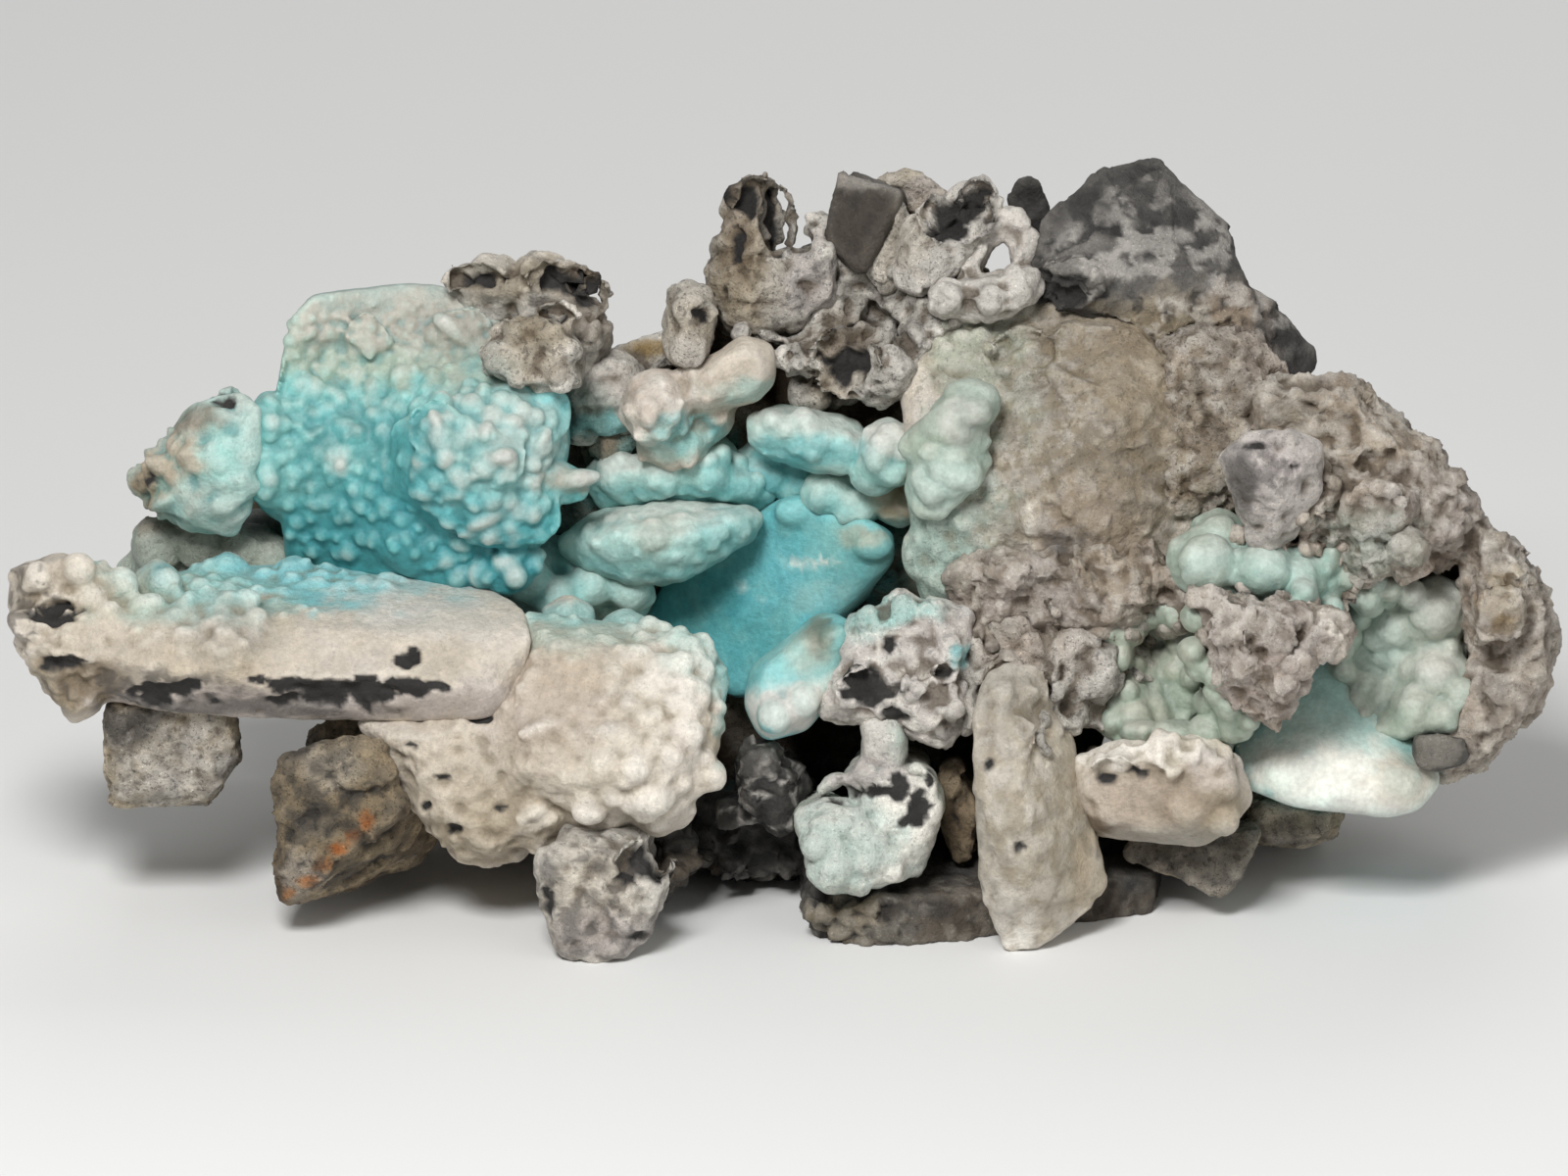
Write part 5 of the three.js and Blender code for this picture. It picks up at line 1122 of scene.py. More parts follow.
            ("brown", 4.6, 42.4, 1.8, 3.4, 0.55), ("cream", 0.5, 32.4, 6, 3.4, 0.9),
            ("ivory", 6, 35, 3, 2, 0.6), ("buff", 3, 40, 2.6, 3, 0.35),
        ],
        "veins": (5.0, 0.16, "ivory"),
    },
    "grey_bridge_crust": {
        "finish": "ash_crust",
        "grain": 0.45,
        "lumps": [
            (10.8, 44.4, 2.0), (15, 45.4, 2.2), (19, 45.0, 2.0), (21, 40.6, 2.0), (16, 36, 2.2),
            (21.2, 33, 2.0),
        ],
        "rims": [(10.8, 35.2, 3.8, 2.4, 1.0, 0.8, 90, 400), (20.6, 37.4, 1.5, 1.2, 0.9, 0.7, 0, 360)],
        "relief": [("crumbly", 2.8, 0.8, (16, 35, 8, 7)), ("pitted", 2.2, 0.9, (17, 39, 8, 7))],
        "chips": [
            (10.8, 35.2, 3.4, 2.0, 0.9), (14, 31.6, 1.6, 1.2, 0.8), (13.6, 41, 0.7, 0.9, 0.7),
            (20.4, 37.4, 1.0, 0.7, 0.8),
        ],
        "stains": [
            ("lilac", 16, 39, 12, 8, 0.8), ("dust", 16, 39, 10, 7, 0.65),
            ("aqua", 12.5, 45.4, 8, 1.8, 0.8), ("turquoise", 22.6, 39.6, 1.8, 1.4, 0.7),
            ("aqua", 10, 43, 3, 1.6, 0.5),
        ],
        "veins": (2.6, 0.7, "ivory"),
    },
    "rubble_shelf": {
        "finish": "rubble",
        "fills": [(41, 47, 12, 8, 1.9, 1.3, 1.2), (31, 44, 8, 7, 1.9, 1.2, 1.0)],
        "stains": [
            ("lilac", 32, 48, 9, 4, 0.4), ("slate", 36, 54.4, 3.6, 1.5, 0.75), ("tan", 42, 51, 6, 4, 0.4),
        ],
        "specks": [(1.4, 0.4, "brown", (38, 47, 14, 9)), (1.3, 0.4, "dust", (38, 47, 14, 9))],
    },
    "fin_cluster": {
        "finish": "ash_crust",
        "rims": [(33.0, 41.0, 1.0, 5.0, 2.6, 0.9, -90, 90)],
        "fills": [(30, 36, 9, 9, 1.9, 1.2, 1.4), (42, 38, 8, 8, 1.9, 1.2, 1.6)],
        "relief": [("crumbly", 3.4, 0.9, (34, 40, 9, 9))],
        "stains": [
            ("rose_tan", 33, 42, 7, 6, 0.6), ("ivory", 33.6, 41, 0.7, 5, 0.7),
            ("dust", 38, 38, 4, 5, 0.5),
        ],
    },
    "smooth_blue_slab": {
        "finish": "smooth_blue",
        "grain": 0.45,
        "soften": 14,
        "lumps": [(11.5, 53.4, 2.2, 1.2, 0.9, 0.8, 0), (1.6, 57.8, 2.4, 1.2, 0.8, 0.8, 0)],
        "stains": [
            ("deep_blue", -13, 44, 7, 9, 0.7), ("turquoise", -5, 41, 8, 6, 0.6),
            ("aqua", 8, 52, 6, 5, 0.4), ("buff", 9.6, 54.6, 3.0, 1.5, 0.75),
            ("ivory", 3.4, 51.5, 3.6, 0.22, 0.9), ("ivory", 1.4, 51.0, 1.0, 0.3, 0.8),
            ("ivory", -5, 48, 0.9, 0.3, 0.8), ("pale_aqua", 5, 47, 4, 2.4, 0.35),
            ("ivory", -2.6, 46.6, 0.5, 0.3, 0.8),
        ],
        "specks": [(3.0, 0.3, "aqua", (0, 50, 14, 14)), (1.4, 0.15, "deep_blue", (-4, 46, 14, 12))],
    },
    "lower_lens_ledge": {
        "finish": "pale_crust",
        "grain": 0.42,
        "soften": 12,
        "studs": [(-15, 54.5, 11, 3.4, 2.6, 0.5, 1.1)],
        "stains": [
            ("dust", -15, 57.6, 10, 2.0, 0.65), ("turquoise", -14, 51.0, 14, 2.0, 0.5),
            ("pale_aqua", -17, 53.4, 8, 3.0, 0.55), ("aqua", -12, 54, 12, 3, 0.5),
            ("turquoise", -7, 55, 3.6, 3, 0.4), ("rose_tan", -16, 55, 3, 2, 0.35),
        ],
    },
    "upper_lens_ledge": {
        "finish": "pale_crust",
        "grain": 0.42,
        "soften": 14,
        "studs": [(-14, 62.4, 13, 3.4, 2.6, 0.6, 1.3)],
        "stains": [
            ("aqua", -13, 62, 14, 4, 0.6), ("turquoise", -12, 59.6, 14, 1.8, 0.5),
            ("turquoise", -6, 62, 5, 3, 0.5), ("dust", -18, 64.4, 8, 1.8, 0.5),
        ],
    },
    "cavity_floor_lumps": {
        "finish": "pale_crust",
        "soften": 12,
        "lumps": [
            (-32.6, 49.4, 3.0), (-28.6, 46.6, 2.8), (-24.6, 48.4, 2.8), (-19.8, 48.2, 2.8),
            (-32.4, 53.6, 2.4),
        ],
        "studs": [(-26, 49, 10, 5, 2.4, 0.7, 1.5)],
        "stains": [("turquoise", -31, 51, 6, 6, 0.6), ("aqua", -24, 48, 9, 5, 0.4)],
    },
    "cream_roof_lumps": {
        "finish": "cream_crust",
        "grain": 0.42,
        "soften": 9,
        "studs": [(-14, 70, 10, 7, 2.7, 0.8, 1.6)],
        "stains": [
            ("dust", -16, 71, 5, 5, 0.5), ("turquoise", -12, 67.5, 4, 2.4, 0.7),
            ("aqua", -13.5, 66, 4, 2.4, 0.6), ("aqua", -4, 73, 6, 1.6, 0.5),
            ("rose_tan", -18, 72, 2.5, 2.5, 0.3),
        ],
        "specks": [(2.0, 0.3, "rose_tan", (-14, 72, 10, 8))],
    },
    "upper_knob": {
        "finish": "ash_crust",
        "lumps": [(-12, 78.4, 2.6), (-12.2, 83.6, 2.4)],
        "rims": [(-10.6, 82.8, 1.7, 1.5, 1.0, 0.7, 60, 400)],
        "chips": [(-10.6, 82.8, 1.1, 0.9, 0.8)],
        "stains": [("buff", -12, 81, 4, 6, 0.6), ("cream", -12, 77.5, 3, 2, 0.5)],
    },
    "left_roof_stone": {
        "finish": "ash_crust",
        "lumps": [(-22.6, 72.6, 2.4, 1.5, 1, 1, 0)],
        "stains": [
            ("cream", -22, 73, 5, 4, 0.6), ("turquoise", -23, 68.6, 5, 1.6, 0.75),
            ("amber", -16.4, 78.6, 3.6, 1.0, 0.85), ("sea_grey", -24, 71, 3, 3, 0.4),
        ],
    },
    "turquoise_bar": {
        "finish": "pale_crust",
        "grain": 0.42,
        "soften": 9,
        "presses": [(3, 67, 8, 4, 0.4)],
        "studs": [(3, 67.5, 8, 3, 2.6, 0.7, 1.4), (13.2, 65.4, 3, 3.4, 2.2, 0.8, 1.5)],
        "stains": [
            ("dust", 3, 69.6, 8, 1.6, 0.6), ("pale_aqua", 4, 68, 9, 3, 0.45),
            ("turquoise", 2, 65.6, 9, 1.5, 0.6), ("turquoise", -1, 62.6, 5, 2.6, 0.9),
            ("cream", 13.2, 66.6, 3.4, 3.2, 0.6), ("aqua", 12, 63, 3, 2, 0.5),
            ("deep_blue", -3, 61.6, 3, 2, 0.4),
        ],
    },
    "pale_cluster": {
        "finish": "pale_crust",
        "grain": 0.42,
        "studs": [(14.2, 60, 2.6, 3, 1.4, 0.6, 1.1)],
        "stains": [
            ("tan", 14, 60, 3, 3.4, 0.9), ("aqua", 7, 60, 5, 3, 0.5), ("turquoise", 5, 58, 3, 2, 0.4),
        ],
    },
    "spire": {
        "finish": "ash_crust",
        "grain": 0.42,
        "rims": [(-3.4, 96.6, 2.8, 3.4, 1.4, 0.8, 60, 260), (-0.6, 94.0, 1.6, 5.0, 1.6, 0.8, -80, 90)],
        "relief": [("crumbly", 3.4, 0.8, (-4, 92, 8, 10))],
        "chips": [(-4.4, 97.4, 2.0, 2.0, 1.2), (-1.0, 94.6, 1.1, 4.6, 1.2), (-6, 91.6, 0.8, 1.6, 0.8)],
        "stains": [
            ("tan", -5, 88, 5, 8, 0.7), ("brown", -6, 93, 2, 6, 0.5), ("dust", 0, 86, 3, 5, 0.5),
            ("brown", -2, 99, 4, 4, 0.5), ("lilac", 3.5, 87, 3, 5, 0.4),
        ],
    },
    "dark_cube": {
        "finish": "dark_stone",
        "stains": [
            ("brown", 10, 93, 6, 8, 0.35), ("ash", 14.8, 92, 1.2, 7, 0.7),
            ("dust", 10, 99.6, 6, 1.0, 0.5),
        ],
    },
    "crust_fold": {"finish": "ash_crust", "stains": [("buff", 14, 90, 3, 6, 0.4)]},
    "hindmost_shard": {
        "finish": "tan_stone",
        "stains": [("dust", 16, 99, 5, 2, 0.5), ("lilac", 18, 98, 3, 2, 0.4)],
    },
    "crusted_shard": {
        "finish": "ash_crust",
        "grain": 0.42,
        "rims": [(21.8, 95.0, 4.4, 2.9, 2.0, 0.8, 120, 400), (24.6, 97.8, 2.0, 1.6, 1.4, 0.8, 0, 200)],
        "chips": [(22.2, 95.4, 3.4, 2.0, 1.4), (20.4, 93.4, 2.2, 1.2, 1.2), (24.6, 97.8, 1.6, 1.0, 1.0)],
        "stains": [("dust", 18, 90, 5, 6, 0.7), ("buff", 16, 93, 3, 5, 0.4), ("dust", 25, 93, 3, 4, 0.4)],
    },
    "arch_shell": {
        "finish": "ash_crust",
        "grain": 0.42,
        "lumps": [(20.8, 84.6, 2.2), (26, 84.4, 2.4), (29.6, 85, 2.2)],
        "rims": [(26.0, 90.4, 3.4, 3.4, 1.6, 0.9, 150, 380)],
        "stains": [("dust", 26, 88, 8, 8, 0.7), ("cream", 29, 93, 3, 4, 0.4)],
    },
    "dark_blade": {"finish": "dark_stone"},
    "peak": {
        "finish": "dark_stone",
        "grain": 0.45,
        "lumps": [(37.6, 87.4, 2.4, 1.7, 0.9, 1, 0)],
        "rims": [(35.4, 86.4, 4.2, 2.6, 2.0, 0.8, 100, 400)],
        "relief": [("crumbly", 2.6, 0.7, (50, 81, 11, 5))],
        "chips": [(35.4, 86.4, 3.2, 1.8, 1.2)],
        "stains": [
            ("dust", 39, 90, 5, 4, 0.35), ("tan", 50, 81, 9, 5, 0.8), ("dust", 47, 86, 8, 3, 0.3),
            ("rose_tan", 58, 82, 5, 5, 0.5),
        ],
        "specks": [(2.4, 0.6, "dust", (50, 88, 19, 11))],
    },
    "open_vug_stone": {
        "finish": "ash_crust",
        "grain": 0.42,
        "rims": [(7.8, 76.6, 3.8, 3.8, 2.4, 0.9, 80, 420)],
        "fills": [(12, 84, 12, 6, 2.0, 1.3, 1.4), (2, 82, 8, 6, 2.0, 1.2, 1.6)],
        "relief": [("crumbly", 2.6, 0.7, (8, 77, 9, 7))],
        "chips": [(7.8, 76.4, 2.8, 2.8, 1.6)],
        "stains": [
            ("brown", 7.6, 78, 4, 4, 0.7), ("dust", 13, 75, 4, 4, 0.6), ("ivory", 4, 76.6, 1.0, 4, 0.7),
            ("cream", 9, 72.4, 3, 1.2, 0.6), ("tan", 6, 73, 3, 3, 0.4),
        ],
    },
    "matrix": {
        "finish": "tan_stone",
        "grain": 0.95,
        "plugs": [(-21.4, 66.6, 47, 4.2), (-35.6, 81.6, 46, 3.4), (59.6, 21.0, 34, 4.0)],
        "relief": [("split", 11.0, 1.6), ("crumbly", 5.0, 0.7)],
        "stains": [
            # The broad brown stain is partly the rock's own colour and partly painted shade in the crevices
            # between the fragments; the slate stains at 10, 20 and -60, 28 are painted shadow under the bridge
            # and under the left ledge.
            ("brown", 0, 50, 110, 80, 0.6), ("turquoise", -10, 53, 22, 12, 0.95),
            ("deep_blue", 12, 55, 6, 8, 0.6), ("sea_grey", 62, 40, 18, 14, 0.7),
            ("sea_grey", -70, 52, 10, 6, 0.6), ("slate", 10, 20, 40, 12, 0.7),
            ("slate", -60, 28, 30, 6, 0.7),
        ],
        "specks": [(5.0, 0.4, "ash", (0, 40, 160, 120)), (3.0, 0.35, "brown", (0, 40, 160, 120))],
    },
    "back_block_left": {"finish": "tan_stone", "grain": COARSE_GRAIN},
    "back_block_middle": {
        "finish": "dark_stone",
        "grain": COARSE_GRAIN,
        "relief": [("split", 7, 1.1), ("crumbly", 3.5, 0.7)],
    },
    "back_block_right": {"finish": "tan_stone", "grain": COARSE_GRAIN},
    "back_block_low": {"finish": "brown_stone", "grain": COARSE_GRAIN},
}

# How strongly the crests take their painted highlight where a piece gives no share of its own.
CREST_HIGHLIGHT_SHARE = 0.4
BACK_SHARE = 0.85
CALM_ROUNDS = 9

# Borders of ovals: how wide the blurred edge is, as a share of the oval, and how far waves fray it.
RELIEF_BORDER = (0.3, 0.4)
CHIP_BORDER = (0.12, 0.9)
STAIN_BORDER = (0.4, 0.6)
SPECK_BORDER = (0.4, 0.3)

# The ramps from none to all: of chips and stains by how far a point faces the camera, of the bare far side
# by how far it faces away, of dust by how far it faces up, and of the painted shade in hollows and the painted
# highlight on crests by how far, in millimetres, a point lies below or above its calm surroundings.
FACING_FOR_CHIPS = (0.0, 0.4)
FACING_FOR_STAINS = (-0.35, 0.35)
FACING_AWAY = (0.2, 0.7)
FACING_UP = (0.25, 0.9)
HOLLOW_DEPTHS = (0.02, 0.22)
CREST_HEIGHTS = (0.03, 0.25)
SPECK_WAVES = (0.04, 0.14)
VEIN_SHARPNESS = 9


def raised(mesh, spec, finish, seed):
    """The skin's points moved along their normals by the relief, sunk where the crust is chipped off, and
    let run into one another by the rounds of melting. Gives the skin as arrays: its place before and after,
    its normals and edges, the relief's tone, and how bare each point is."""
    place, normals, edges = points_of(mesh), normals_of(mesh), edges_of(mesh)
    height = np.zeros(len(place))
    tone = np.full(len(place), 0.5)
    for number, (kind, size, most, *where) in enumerate(finish["relief"] + spec.get("relief", [])):
        rise, shade = KINDS[kind](place, size, seed + RELIEF_SEEDS * number)
        height = height + rise * (most * (oval(place, where[0], *RELIEF_BORDER) if where else 1.0))
        tone = tone + (shade - 0.5) * (0.3 if number else 0.7)
    facing = step(*FACING_FOR_CHIPS, -(normals @ LOOK))
    bare = np.zeros(len(place))
    for number, (*row, depth) in enumerate(spec.get("chips", [])):
        broken = oval(place, row, *CHIP_BORDER, seed + CHIP_SEEDS * number) * facing
        height = height - broken * depth
        bare = np.maximum(bare, broken)
    moved = place + normals * height[:, None]
    for _ in range(spec.get("melt", finish["melt"])):
        moved = (moved + averaged(moved, edges, len(place))) / 2
    moved[:, 2] = np.maximum(moved[:, 2], 0.0)
    return {
        "place": place, "moved": moved, "normals": normals, "edges": edges,
        "tone": np.clip(tone, 0, 1), "bare": bare,
    }


def distance_nodes(target):
    """Nodes that store, at every point of a mesh, its distance to the target's faces."""
    group = bpy.data.node_groups.new("distance", "GeometryNodeTree")
    for way in ("INPUT", "OUTPUT"):
        group.interface.new_socket("Geometry", in_out=way, socket_type="NodeSocketGeometry")
    start = group.nodes.new("NodeGroupInput")
    end = group.nodes.new("NodeGroupOutput")
    solid = group.nodes.new("GeometryNodeObjectInfo")
    solid.inputs["Object"].default_value = target
    near = group.nodes.new("GeometryNodeProximity")
    near.target_element = "FACES"
    store = group.nodes.new("GeometryNodeStoreNamedAttribute")
    store.inputs["Name"].default_value = "distance"
    group.links.new(start.outputs["Geometry"], store.inputs["Geometry"])
    group.links.new(solid.outputs["Geometry"], near.inputs[0])
    group.links.new(near.outputs["Distance"], store.inputs["Value"])
    group.links.new(store.outputs["Geometry"], end.inputs["Geometry"])
    return group


def standing_out(solid, place):
    """How far each point stands out from the bare solid, in millimetres."""
    target = blank("bare solid", *solid)
    probe = blank("probe", place, np.empty((0, 3), int))
    measure = probe.modifiers.new("distance", "NODES")
    measure.node_group = distance_nodes(target)
    bpy.context.view_layer.update()
    ready = probe.evaluated_get(bpy.context.evaluated_depsgraph_get())
    heights = np.empty(len(place), np.float32)
    ready.data.attributes["distance"].data.foreach_get("value", heights)
    bpy.data.node_groups.remove(measure.node_group)
    for thing in (target, probe):
        mesh = thing.data
        bpy.data.objects.remove(thing)
        bpy.data.meshes.remove(mesh)
    return heights.astype(np.float64)


def mottled(skin, finish, seed):
    """Base and mottle by waves and by each form's tone, and plain rock on the far side of a coated piece."""
    base, mottle = (COLOURS[name] for name in finish["colours"][:2])
    place, tone = skin["place"], skin["tone"]
    colour = np.tile(np.array(base), (len(place), 1))
    colour = shaded(colour, mottle, 0.5 + 0.6 * rough(place, 9.0, seed + 2, 3) + 0.5 * (tone - 0.5))
    colour = colour * (1 + finish["toning"] * (2 * tone[:, None] - 1))
    if finish["melt"] > 1:
        away = step(*FACING_AWAY, skin["normals"] @ LOOK + 0.3 * rough(place, 6.0, seed + 3, 3))
        colour = shaded(colour, COLOURS["ash"], away * BACK_SHARE)
    return colour


def stained(colour, skin, spec, seed):
    """The piece's stains laid over its colour where it faces the camera."""
    facing = step(*FACING_FOR_STAINS, -(skin["normals"] @ LOOK))
    for number, (name, *row, strength) in enumerate(spec.get("stains", [])):
        weight = oval(skin["place"], row, *STAIN_BORDER, seed + STAIN_SEEDS * number) * strength * facing
        colour = shaded(colour, COLOURS[name], weight)
    return colour


def dusted_with_painted_light(colour, skin, spec, finish, seed):
    """Dust on what faces up, painted shade in the hollows and a painted highlight on the crests."""
    hollow, crest_highlight = (np.array(COLOURS[name]) for name in finish["colours"][2:])
    place, moved, normals, edges = skin["place"], skin["moved"], skin["normals"], skin["edges"]
    calm = moved
    for _ in range(CALM_ROUNDS):
        calm = averaged(calm, edges, len(place))
    bend = averaged(((moved - calm) * normals).sum(1), edges, len(place))
    dusted = step(*FACING_UP, normals[:, 2]) * finish["dusting"]
    colour = shaded(colour, COLOURS["dust"], dusted * (0.6 + 0.5 * rough(place, 3.0, seed + 5, 3)))
    # Painted shade: the hollows are darkened towards a deeper colour.
    hollow_shade_colour = 0.6 * hollow + 0.25 * colour
    colour = shaded(colour, hollow_shade_colour, step(*HOLLOW_DEPTHS, -bend) * finish["hollow_shade"])
    # Painted highlight: the crests are lightened towards a paler colour.
    crest_highlight_colour = 0.5 * crest_highlight + 0.55 * colour
    return shaded(colour, crest_highlight_colour, step(*CREST_HEIGHTS, bend) * spec.get("crest_highlight", CREST_HIGHLIGHT_SHARE))


def marked(colour, skin, spec, solid, seed):
    """The tips, veins and specks that the piece has, and the dark rock where its crust is chipped."""
    place = skin["place"]
    if "tips" in spec:
        name, least, most, strength = spec["tips"]
        colour = shaded(colour, COLOURS[name], step(least, most, standing_out(solid, place)) * strength)
    if "veins" in spec:
        size, strength, name = spec["veins"]
        line = 1 - np.abs(swell(place, size, seed + 71)) * VEIN_SHARPNESS
        colour = shaded(colour, COLOURS[name], np.clip(line, 0, 1) * strength)
    for number, (size, strength, name, row) in enumerate(spec.get("specks", [])):
        dots = step(*SPECK_WAVES, rough(place, size, seed + 77 + SPECK_SEEDS * number, 4))
        colour = shaded(colour, COLOURS[name], dots * strength * oval(place, row, *SPECK_BORDER))
    dark = shaded(np.tile(np.array(COLOURS["slate"]), (len(place), 1)), COLOURS["charcoal"], skin["tone"])
    return colour + (dark - colour) * skin["bare"][:, None]


def whole_tree():
    """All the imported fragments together, for finding the gaps between them."""
    points, faces = joined([packed(node) for node in PIECES])
    return BVHTree.FromPolygons(points.tolist(), faces.tolist())


WHOLE = whole_tree()


def coated(node, spec, grain, soften):
    """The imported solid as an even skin, its forms pressed flat where the piece asks, under its coat."""
    worn = grown(*packed(node), grain, soften)
    points, faces = arrays_of(worn)
    normals = normals_of(worn)
    bpy.data.meshes.remove(worn)
    coat = COAT + COAT_FOR_SOFTENING * soften
    return pressed(points, normals, spec.get("presses", [])) + normals * coat, faces


def crusted(solid, spec, dice):
    """The coated solid with all its lumps and rims, as one set of points and triangles."""
    tree = BVHTree.FromPolygons(solid[0].tolist(), solid[1].tolist())
    lumps = placed_lumps(tree, spec.get("lumps", []))
    lumps += scattered_lumps(tree, spec.get("studs", []), dice)
    lumps += filling_lumps(WHOLE, spec.get("fills", []), dice)
    rims = [rim_solid(tree, row, dice) for row in spec.get("rims", [])]
    lumps += plugging_lumps(spec.get("plugs", []))
    return joined([solid] + lump_solids(lumps) + [rim for rim in rims if rim is not None])


def piece(node, spec, number):
    """One packed fragment dressed: its solid and lumps under one skin, raised, coloured and put in place."""
    finish = FINISHES[spec["finish"]]
    grain = spec.get("grain", finish.get("grain", GRAIN)) * QUICK_FACTOR
    seed = FIRST_SEED + PIECE_SEEDS * number
    solid = coated(node, spec, grain, spec.get("soften", finish["soften"]))
    shells = crusted(solid, spec, np.random.default_rng(seed))
    mesh = grown(*shells, grain, spec.get("even", finish["even"]))
    skin = raised(mesh, spec, finish, seed)
    colour = stained(mottled(skin, finish, seed), skin, spec, seed)
    colour = dusted_with_painted_light(colour, skin, spec, finish, seed)
    colour = marked(colour, skin, spec, solid, seed)
    mesh.vertices.foreach_set("co", (skin["moved"] * MM).ravel())
    tint = mesh.color_attributes.new("tint", "FLOAT_COLOR", "POINT")
    tint.data.foreach_set("color", np.column_stack([linear(colour), np.ones(len(colour))]).ravel())
    wear = mesh.attributes.new("bare", "FLOAT", "POINT")
    wear.data.foreach_set("value", skin["bare"])
    mesh.update()
    mesh = lightened(mesh, KEPT_SHARE)
    mesh.name = node + "_skin"
    mesh.polygons.foreach_set("use_smooth", np.ones(len(mesh.polygons), bool))
    mesh.update()
    thing = bpy.data.objects.new(node + "_skin", mesh)
    bpy.context.scene.collection.objects.link(thing)
    return thing


# Materials

def noise(tree, place, scale, detail, roughness):
    """Fine waves on the object's own coordinates, from 0 to 1."""
    node = tree.nodes.new("ShaderNodeTexNoise")
    node.inputs["Scale"].default_value = scale
    node.inputs["Detail"].default_value = detail
    node.inputs["Roughness"].default_value = roughness
    tree.links.new(place, node.inputs["Vector"])
    return node.outputs["Fac"]


def ranged(tree, value, low, high, least, most):
    """The value's stretch from low to high spread out from least to most."""
    node = tree.nodes.new("ShaderNodeMapRange")
    node.inputs["From Min"].default_value = low
    node.inputs["From Max"].default_value = high
    node.inputs["To Min"].default_value = least
    node.inputs["To Max"].default_value = most
    tree.links.new(value, node.inputs["Value"])
    return node.outputs["Result"]


def times(tree, colour, value):
    """The colour made darker or lighter by a factor."""
    node = tree.nodes.new("ShaderNodeMix")
    node.data_type = "RGBA"
    node.blend_type = "MULTIPLY"
    node.inputs["Factor"].default_value = 1.0
    tree.links.new(colour, node.inputs["A"])
    tree.links.new(value, node.inputs["B"])
    return node.outputs["Result"]


def attribute(tree, name):
    """A node that reads one of the skin's own attributes."""
    node = tree.nodes.new("ShaderNodeAttribute")
    node.attribute_name = name
    return node


def mottling(speckle, sparkle):
    """Layers of fine waves that the tint is multiplied by: scale, detail, roughness, the waves' low and high
    ends, and the factors there. The rocks' speckles are the dark ones and their sparkles the bright ones."""
    layers = [(300, 6, 0.7, 0.35, 0.65, 0.88, 1.08), (1400, 5, 0.6, 0.3, 0.7, 0.86, 1.12)]
    if speckle:
        layers.append((900, 4, 0.75, 0.56, 0.62, 1.0, 1.0 - 0.8 * speckle))
        layers.append((2600, 3, 0.7, 0.58, 0.66, 1.0, 1.0 - speckle))
    if sparkle:
        layers.append((3300, 2, 0.6, 0.62, 0.68, 1.0, 1.0 + sparkle))
    return layers


SHEEN_WAVES = (700, 4, 0.6)
CHIP_ROUGHNESS = 0.8
GRIT_DETAIL = (8, 0.65)
GRIT_DEPTH = 0.0004
SPECKLED_GRIT_DEPTH = 0.0005
WAX_RADIUS = (1.0, 1.1, 1.1)
WAX_SCALE = 0.0012
GLOSS = 0.45


def crust_material(name, smooth, waxy, grit, grit_size, speckle, sparkle):
    """A crust or rock: its colour from the piece's tint with fine mottling and specks, with grit as bump."""
    material = bpy.data.materials.new(name)
    material.use_nodes = True
    tree = material.node_tree
    link = tree.links.new
    shader = tree.nodes["Principled BSDF"]
    place = tree.nodes.new("ShaderNodeTexCoord").outputs["Object"]
    colour = attribute(tree, "tint").outputs["Color"]
    for *waves, low, high, least, most in mottling(speckle, sparkle):
        colour = times(tree, colour, ranged(tree, noise(tree, place, *waves), low, high, least, most))
    link(colour, shader.inputs["Base Color"])
    matt = tree.nodes.new("ShaderNodeMath")
    matt.operation = "MAXIMUM"
    sheen = noise(tree, place, *SHEEN_WAVES)
    chipped = attribute(tree, "bare").outputs["Fac"]
    link(ranged(tree, sheen, 0.3, 0.7, smooth - 0.08, smooth + 0.1), matt.inputs[0])
    link(ranged(tree, chipped, 0.0, 1.0, 0.0, CHIP_ROUGHNESS), matt.inputs[1])
    link(matt.outputs["Value"], shader.inputs["Roughness"])
    bump = tree.nodes.new("ShaderNodeBump")
    bump.inputs["Strength"].default_value = grit
    bump.inputs["Distance"].default_value = GRIT_DEPTH + SPECKLED_GRIT_DEPTH * speckle
    link(noise(tree, place, grit_size, *GRIT_DETAIL), bump.inputs["Height"])
    link(bump.outputs["Normal"], shader.inputs["Normal"])
    if waxy:
        shader.inputs["Subsurface Weight"].default_value = waxy
        shader.inputs["Subsurface Radius"].default_value = WAX_RADIUS
        shader.inputs["Subsurface Scale"].default_value = WAX_SCALE
    shader.inputs["Specular IOR Level"].default_value = GLOSS
    return material


# Name, roughness, waxiness, strength and scale of the grit, dark speckles, bright sparkles.
MATERIALS = {
    "turquoise_crust": crust_material("turquoise crust", 0.42, 0.18, 0.5, 1500, 0.0, 0.0),
    "cream_crust": crust_material("cream crust", 0.5, 0.1, 0.7, 1700, 0.16, 0.1),
    "grey_crust": crust_material("grey crust", 0.58, 0.06, 0.7, 1900, 0.35, 0.35),
    "grey_rock": crust_material("grey host rock", 0.8, 0.0, 0.9, 1500, 0.55, 0.4),
    "tan_rock": crust_material("tan crumbly rock", 0.78, 0.0, 0.9, 1700, 0.6, 0.5),
    "brown_rock": crust_material("iron stained rock", 0.78, 0.0, 0.9, 1700, 0.6, 0.4),
    "dark_rock": crust_material("dark slaty rock", 0.62, 0.0, 0.8, 1900, 0.3, 0.6),
}


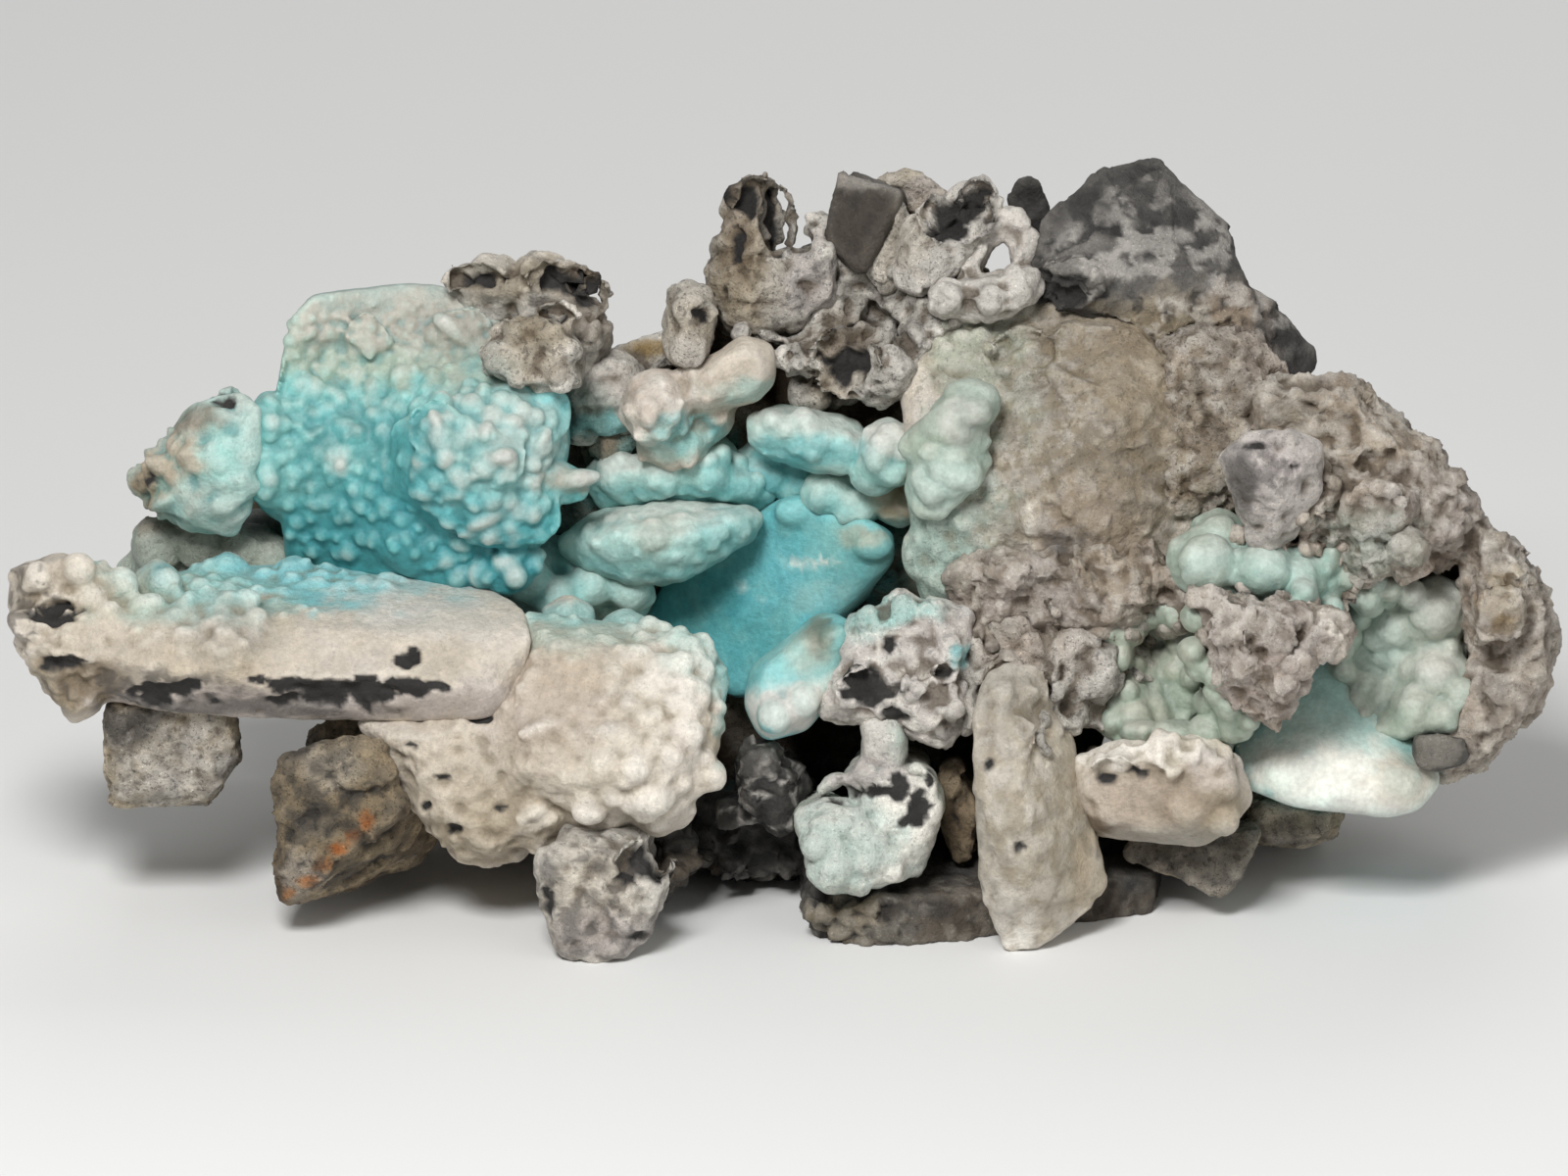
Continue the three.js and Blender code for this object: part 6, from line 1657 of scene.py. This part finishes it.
def dress():
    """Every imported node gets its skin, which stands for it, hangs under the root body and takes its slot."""
    slots = {part["node"]: part["material_slot"] for part in frame["record"]["subparts"]}
    for number, (node, spec) in enumerate(PIECES.items()):
        thing = piece(node, spec, number)
        thing.data.materials.clear()
        thing.data.materials.append(MATERIALS[slots[node]])
        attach(thing, "root")
        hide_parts(node)


# The stage: metres, watts, and colours as amounts of light

FLOOR_REACH = 6.0
FLOOR_COLOUR = (0.78, 0.78, 0.77, 1)
FLOOR_ROUGHNESS = 0.75
ROOM_COLOUR = (0.95, 0.95, 0.94, 1)
ROOM_STRENGTH = 0.19

# Lamps: name, place, size of the soft square, power.
LAMPS = [
    ("key", (-0.16, -0.62, 0.66), 0.24, 7.7),
    ("fill", (0.55, -0.5, 0.35), 0.6, 1.2),
    ("rim", (0.1, 0.6, 0.55), 0.6, 1.6),
]
LAMP_AIM = (0, 0, 0.04)

# The camera looks along the line of sight at its aim, from a distance, and takes in this width there.
CAMERA_AIM = (0, 0, 0.0342)
CAMERA_DISTANCE = 3.0
WIDTH_IN_VIEW = 0.2
FILM_WIDTH = 36.0
NEAR_LIMIT = 0.01


def floor():
    """A wide pale floor under the specimen."""
    far = FLOOR_REACH
    corners = np.array([[-far, -far, 0], [far, -far, 0], [far, far, 0], [-far, far, 0]])
    thing = blank("floor", corners, np.array([[0, 1, 2, 3]]))
    material = bpy.data.materials.new("pale floor")
    material.use_nodes = True
    shader = material.node_tree.nodes["Principled BSDF"]
    shader.inputs["Base Color"].default_value = FLOOR_COLOUR
    shader.inputs["Roughness"].default_value = FLOOR_ROUGHNESS
    thing.data.materials.append(material)


def lamp(name, place, size, power):
    """A square soft light at a place, turned to its aim."""
    light = bpy.data.lights.new(name, "AREA")
    light.size = size
    light.energy = power
    thing = bpy.data.objects.new(name, light)
    bpy.context.scene.collection.objects.link(thing)
    thing.location = place
    thing.rotation_euler = (Vector(LAMP_AIM) - Vector(place)).to_track_quat("-Z", "Y").to_euler()


def room():
    """The pale surroundings, and plain colours."""
    world = bpy.data.worlds.new("pale room")
    world.use_nodes = True
    world.node_tree.nodes["Background"].inputs["Color"].default_value = ROOM_COLOUR
    world.node_tree.nodes["Background"].inputs["Strength"].default_value = ROOM_STRENGTH
    bpy.context.scene.world = world
    bpy.context.scene.view_settings.view_transform = "Standard"


def camera():
    """The camera at the photograph's angle."""
    lens = bpy.data.cameras.new("camera")
    lens.sensor_width = FILM_WIDTH
    lens.lens = FILM_WIDTH * CAMERA_DISTANCE / WIDTH_IN_VIEW
    lens.clip_start = NEAR_LIMIT
    thing = bpy.data.objects.new("camera", lens)
    bpy.context.scene.collection.objects.link(thing)
    thing.location = Vector(CAMERA_AIM) - CAMERA_DISTANCE * Vector(LOOK)
    thing.rotation_euler = Vector(LOOK).to_track_quat("-Z", "Y").to_euler()
    bpy.context.scene.camera = thing


dress()
floor()
for row in LAMPS:
    lamp(*row)
room()
camera()
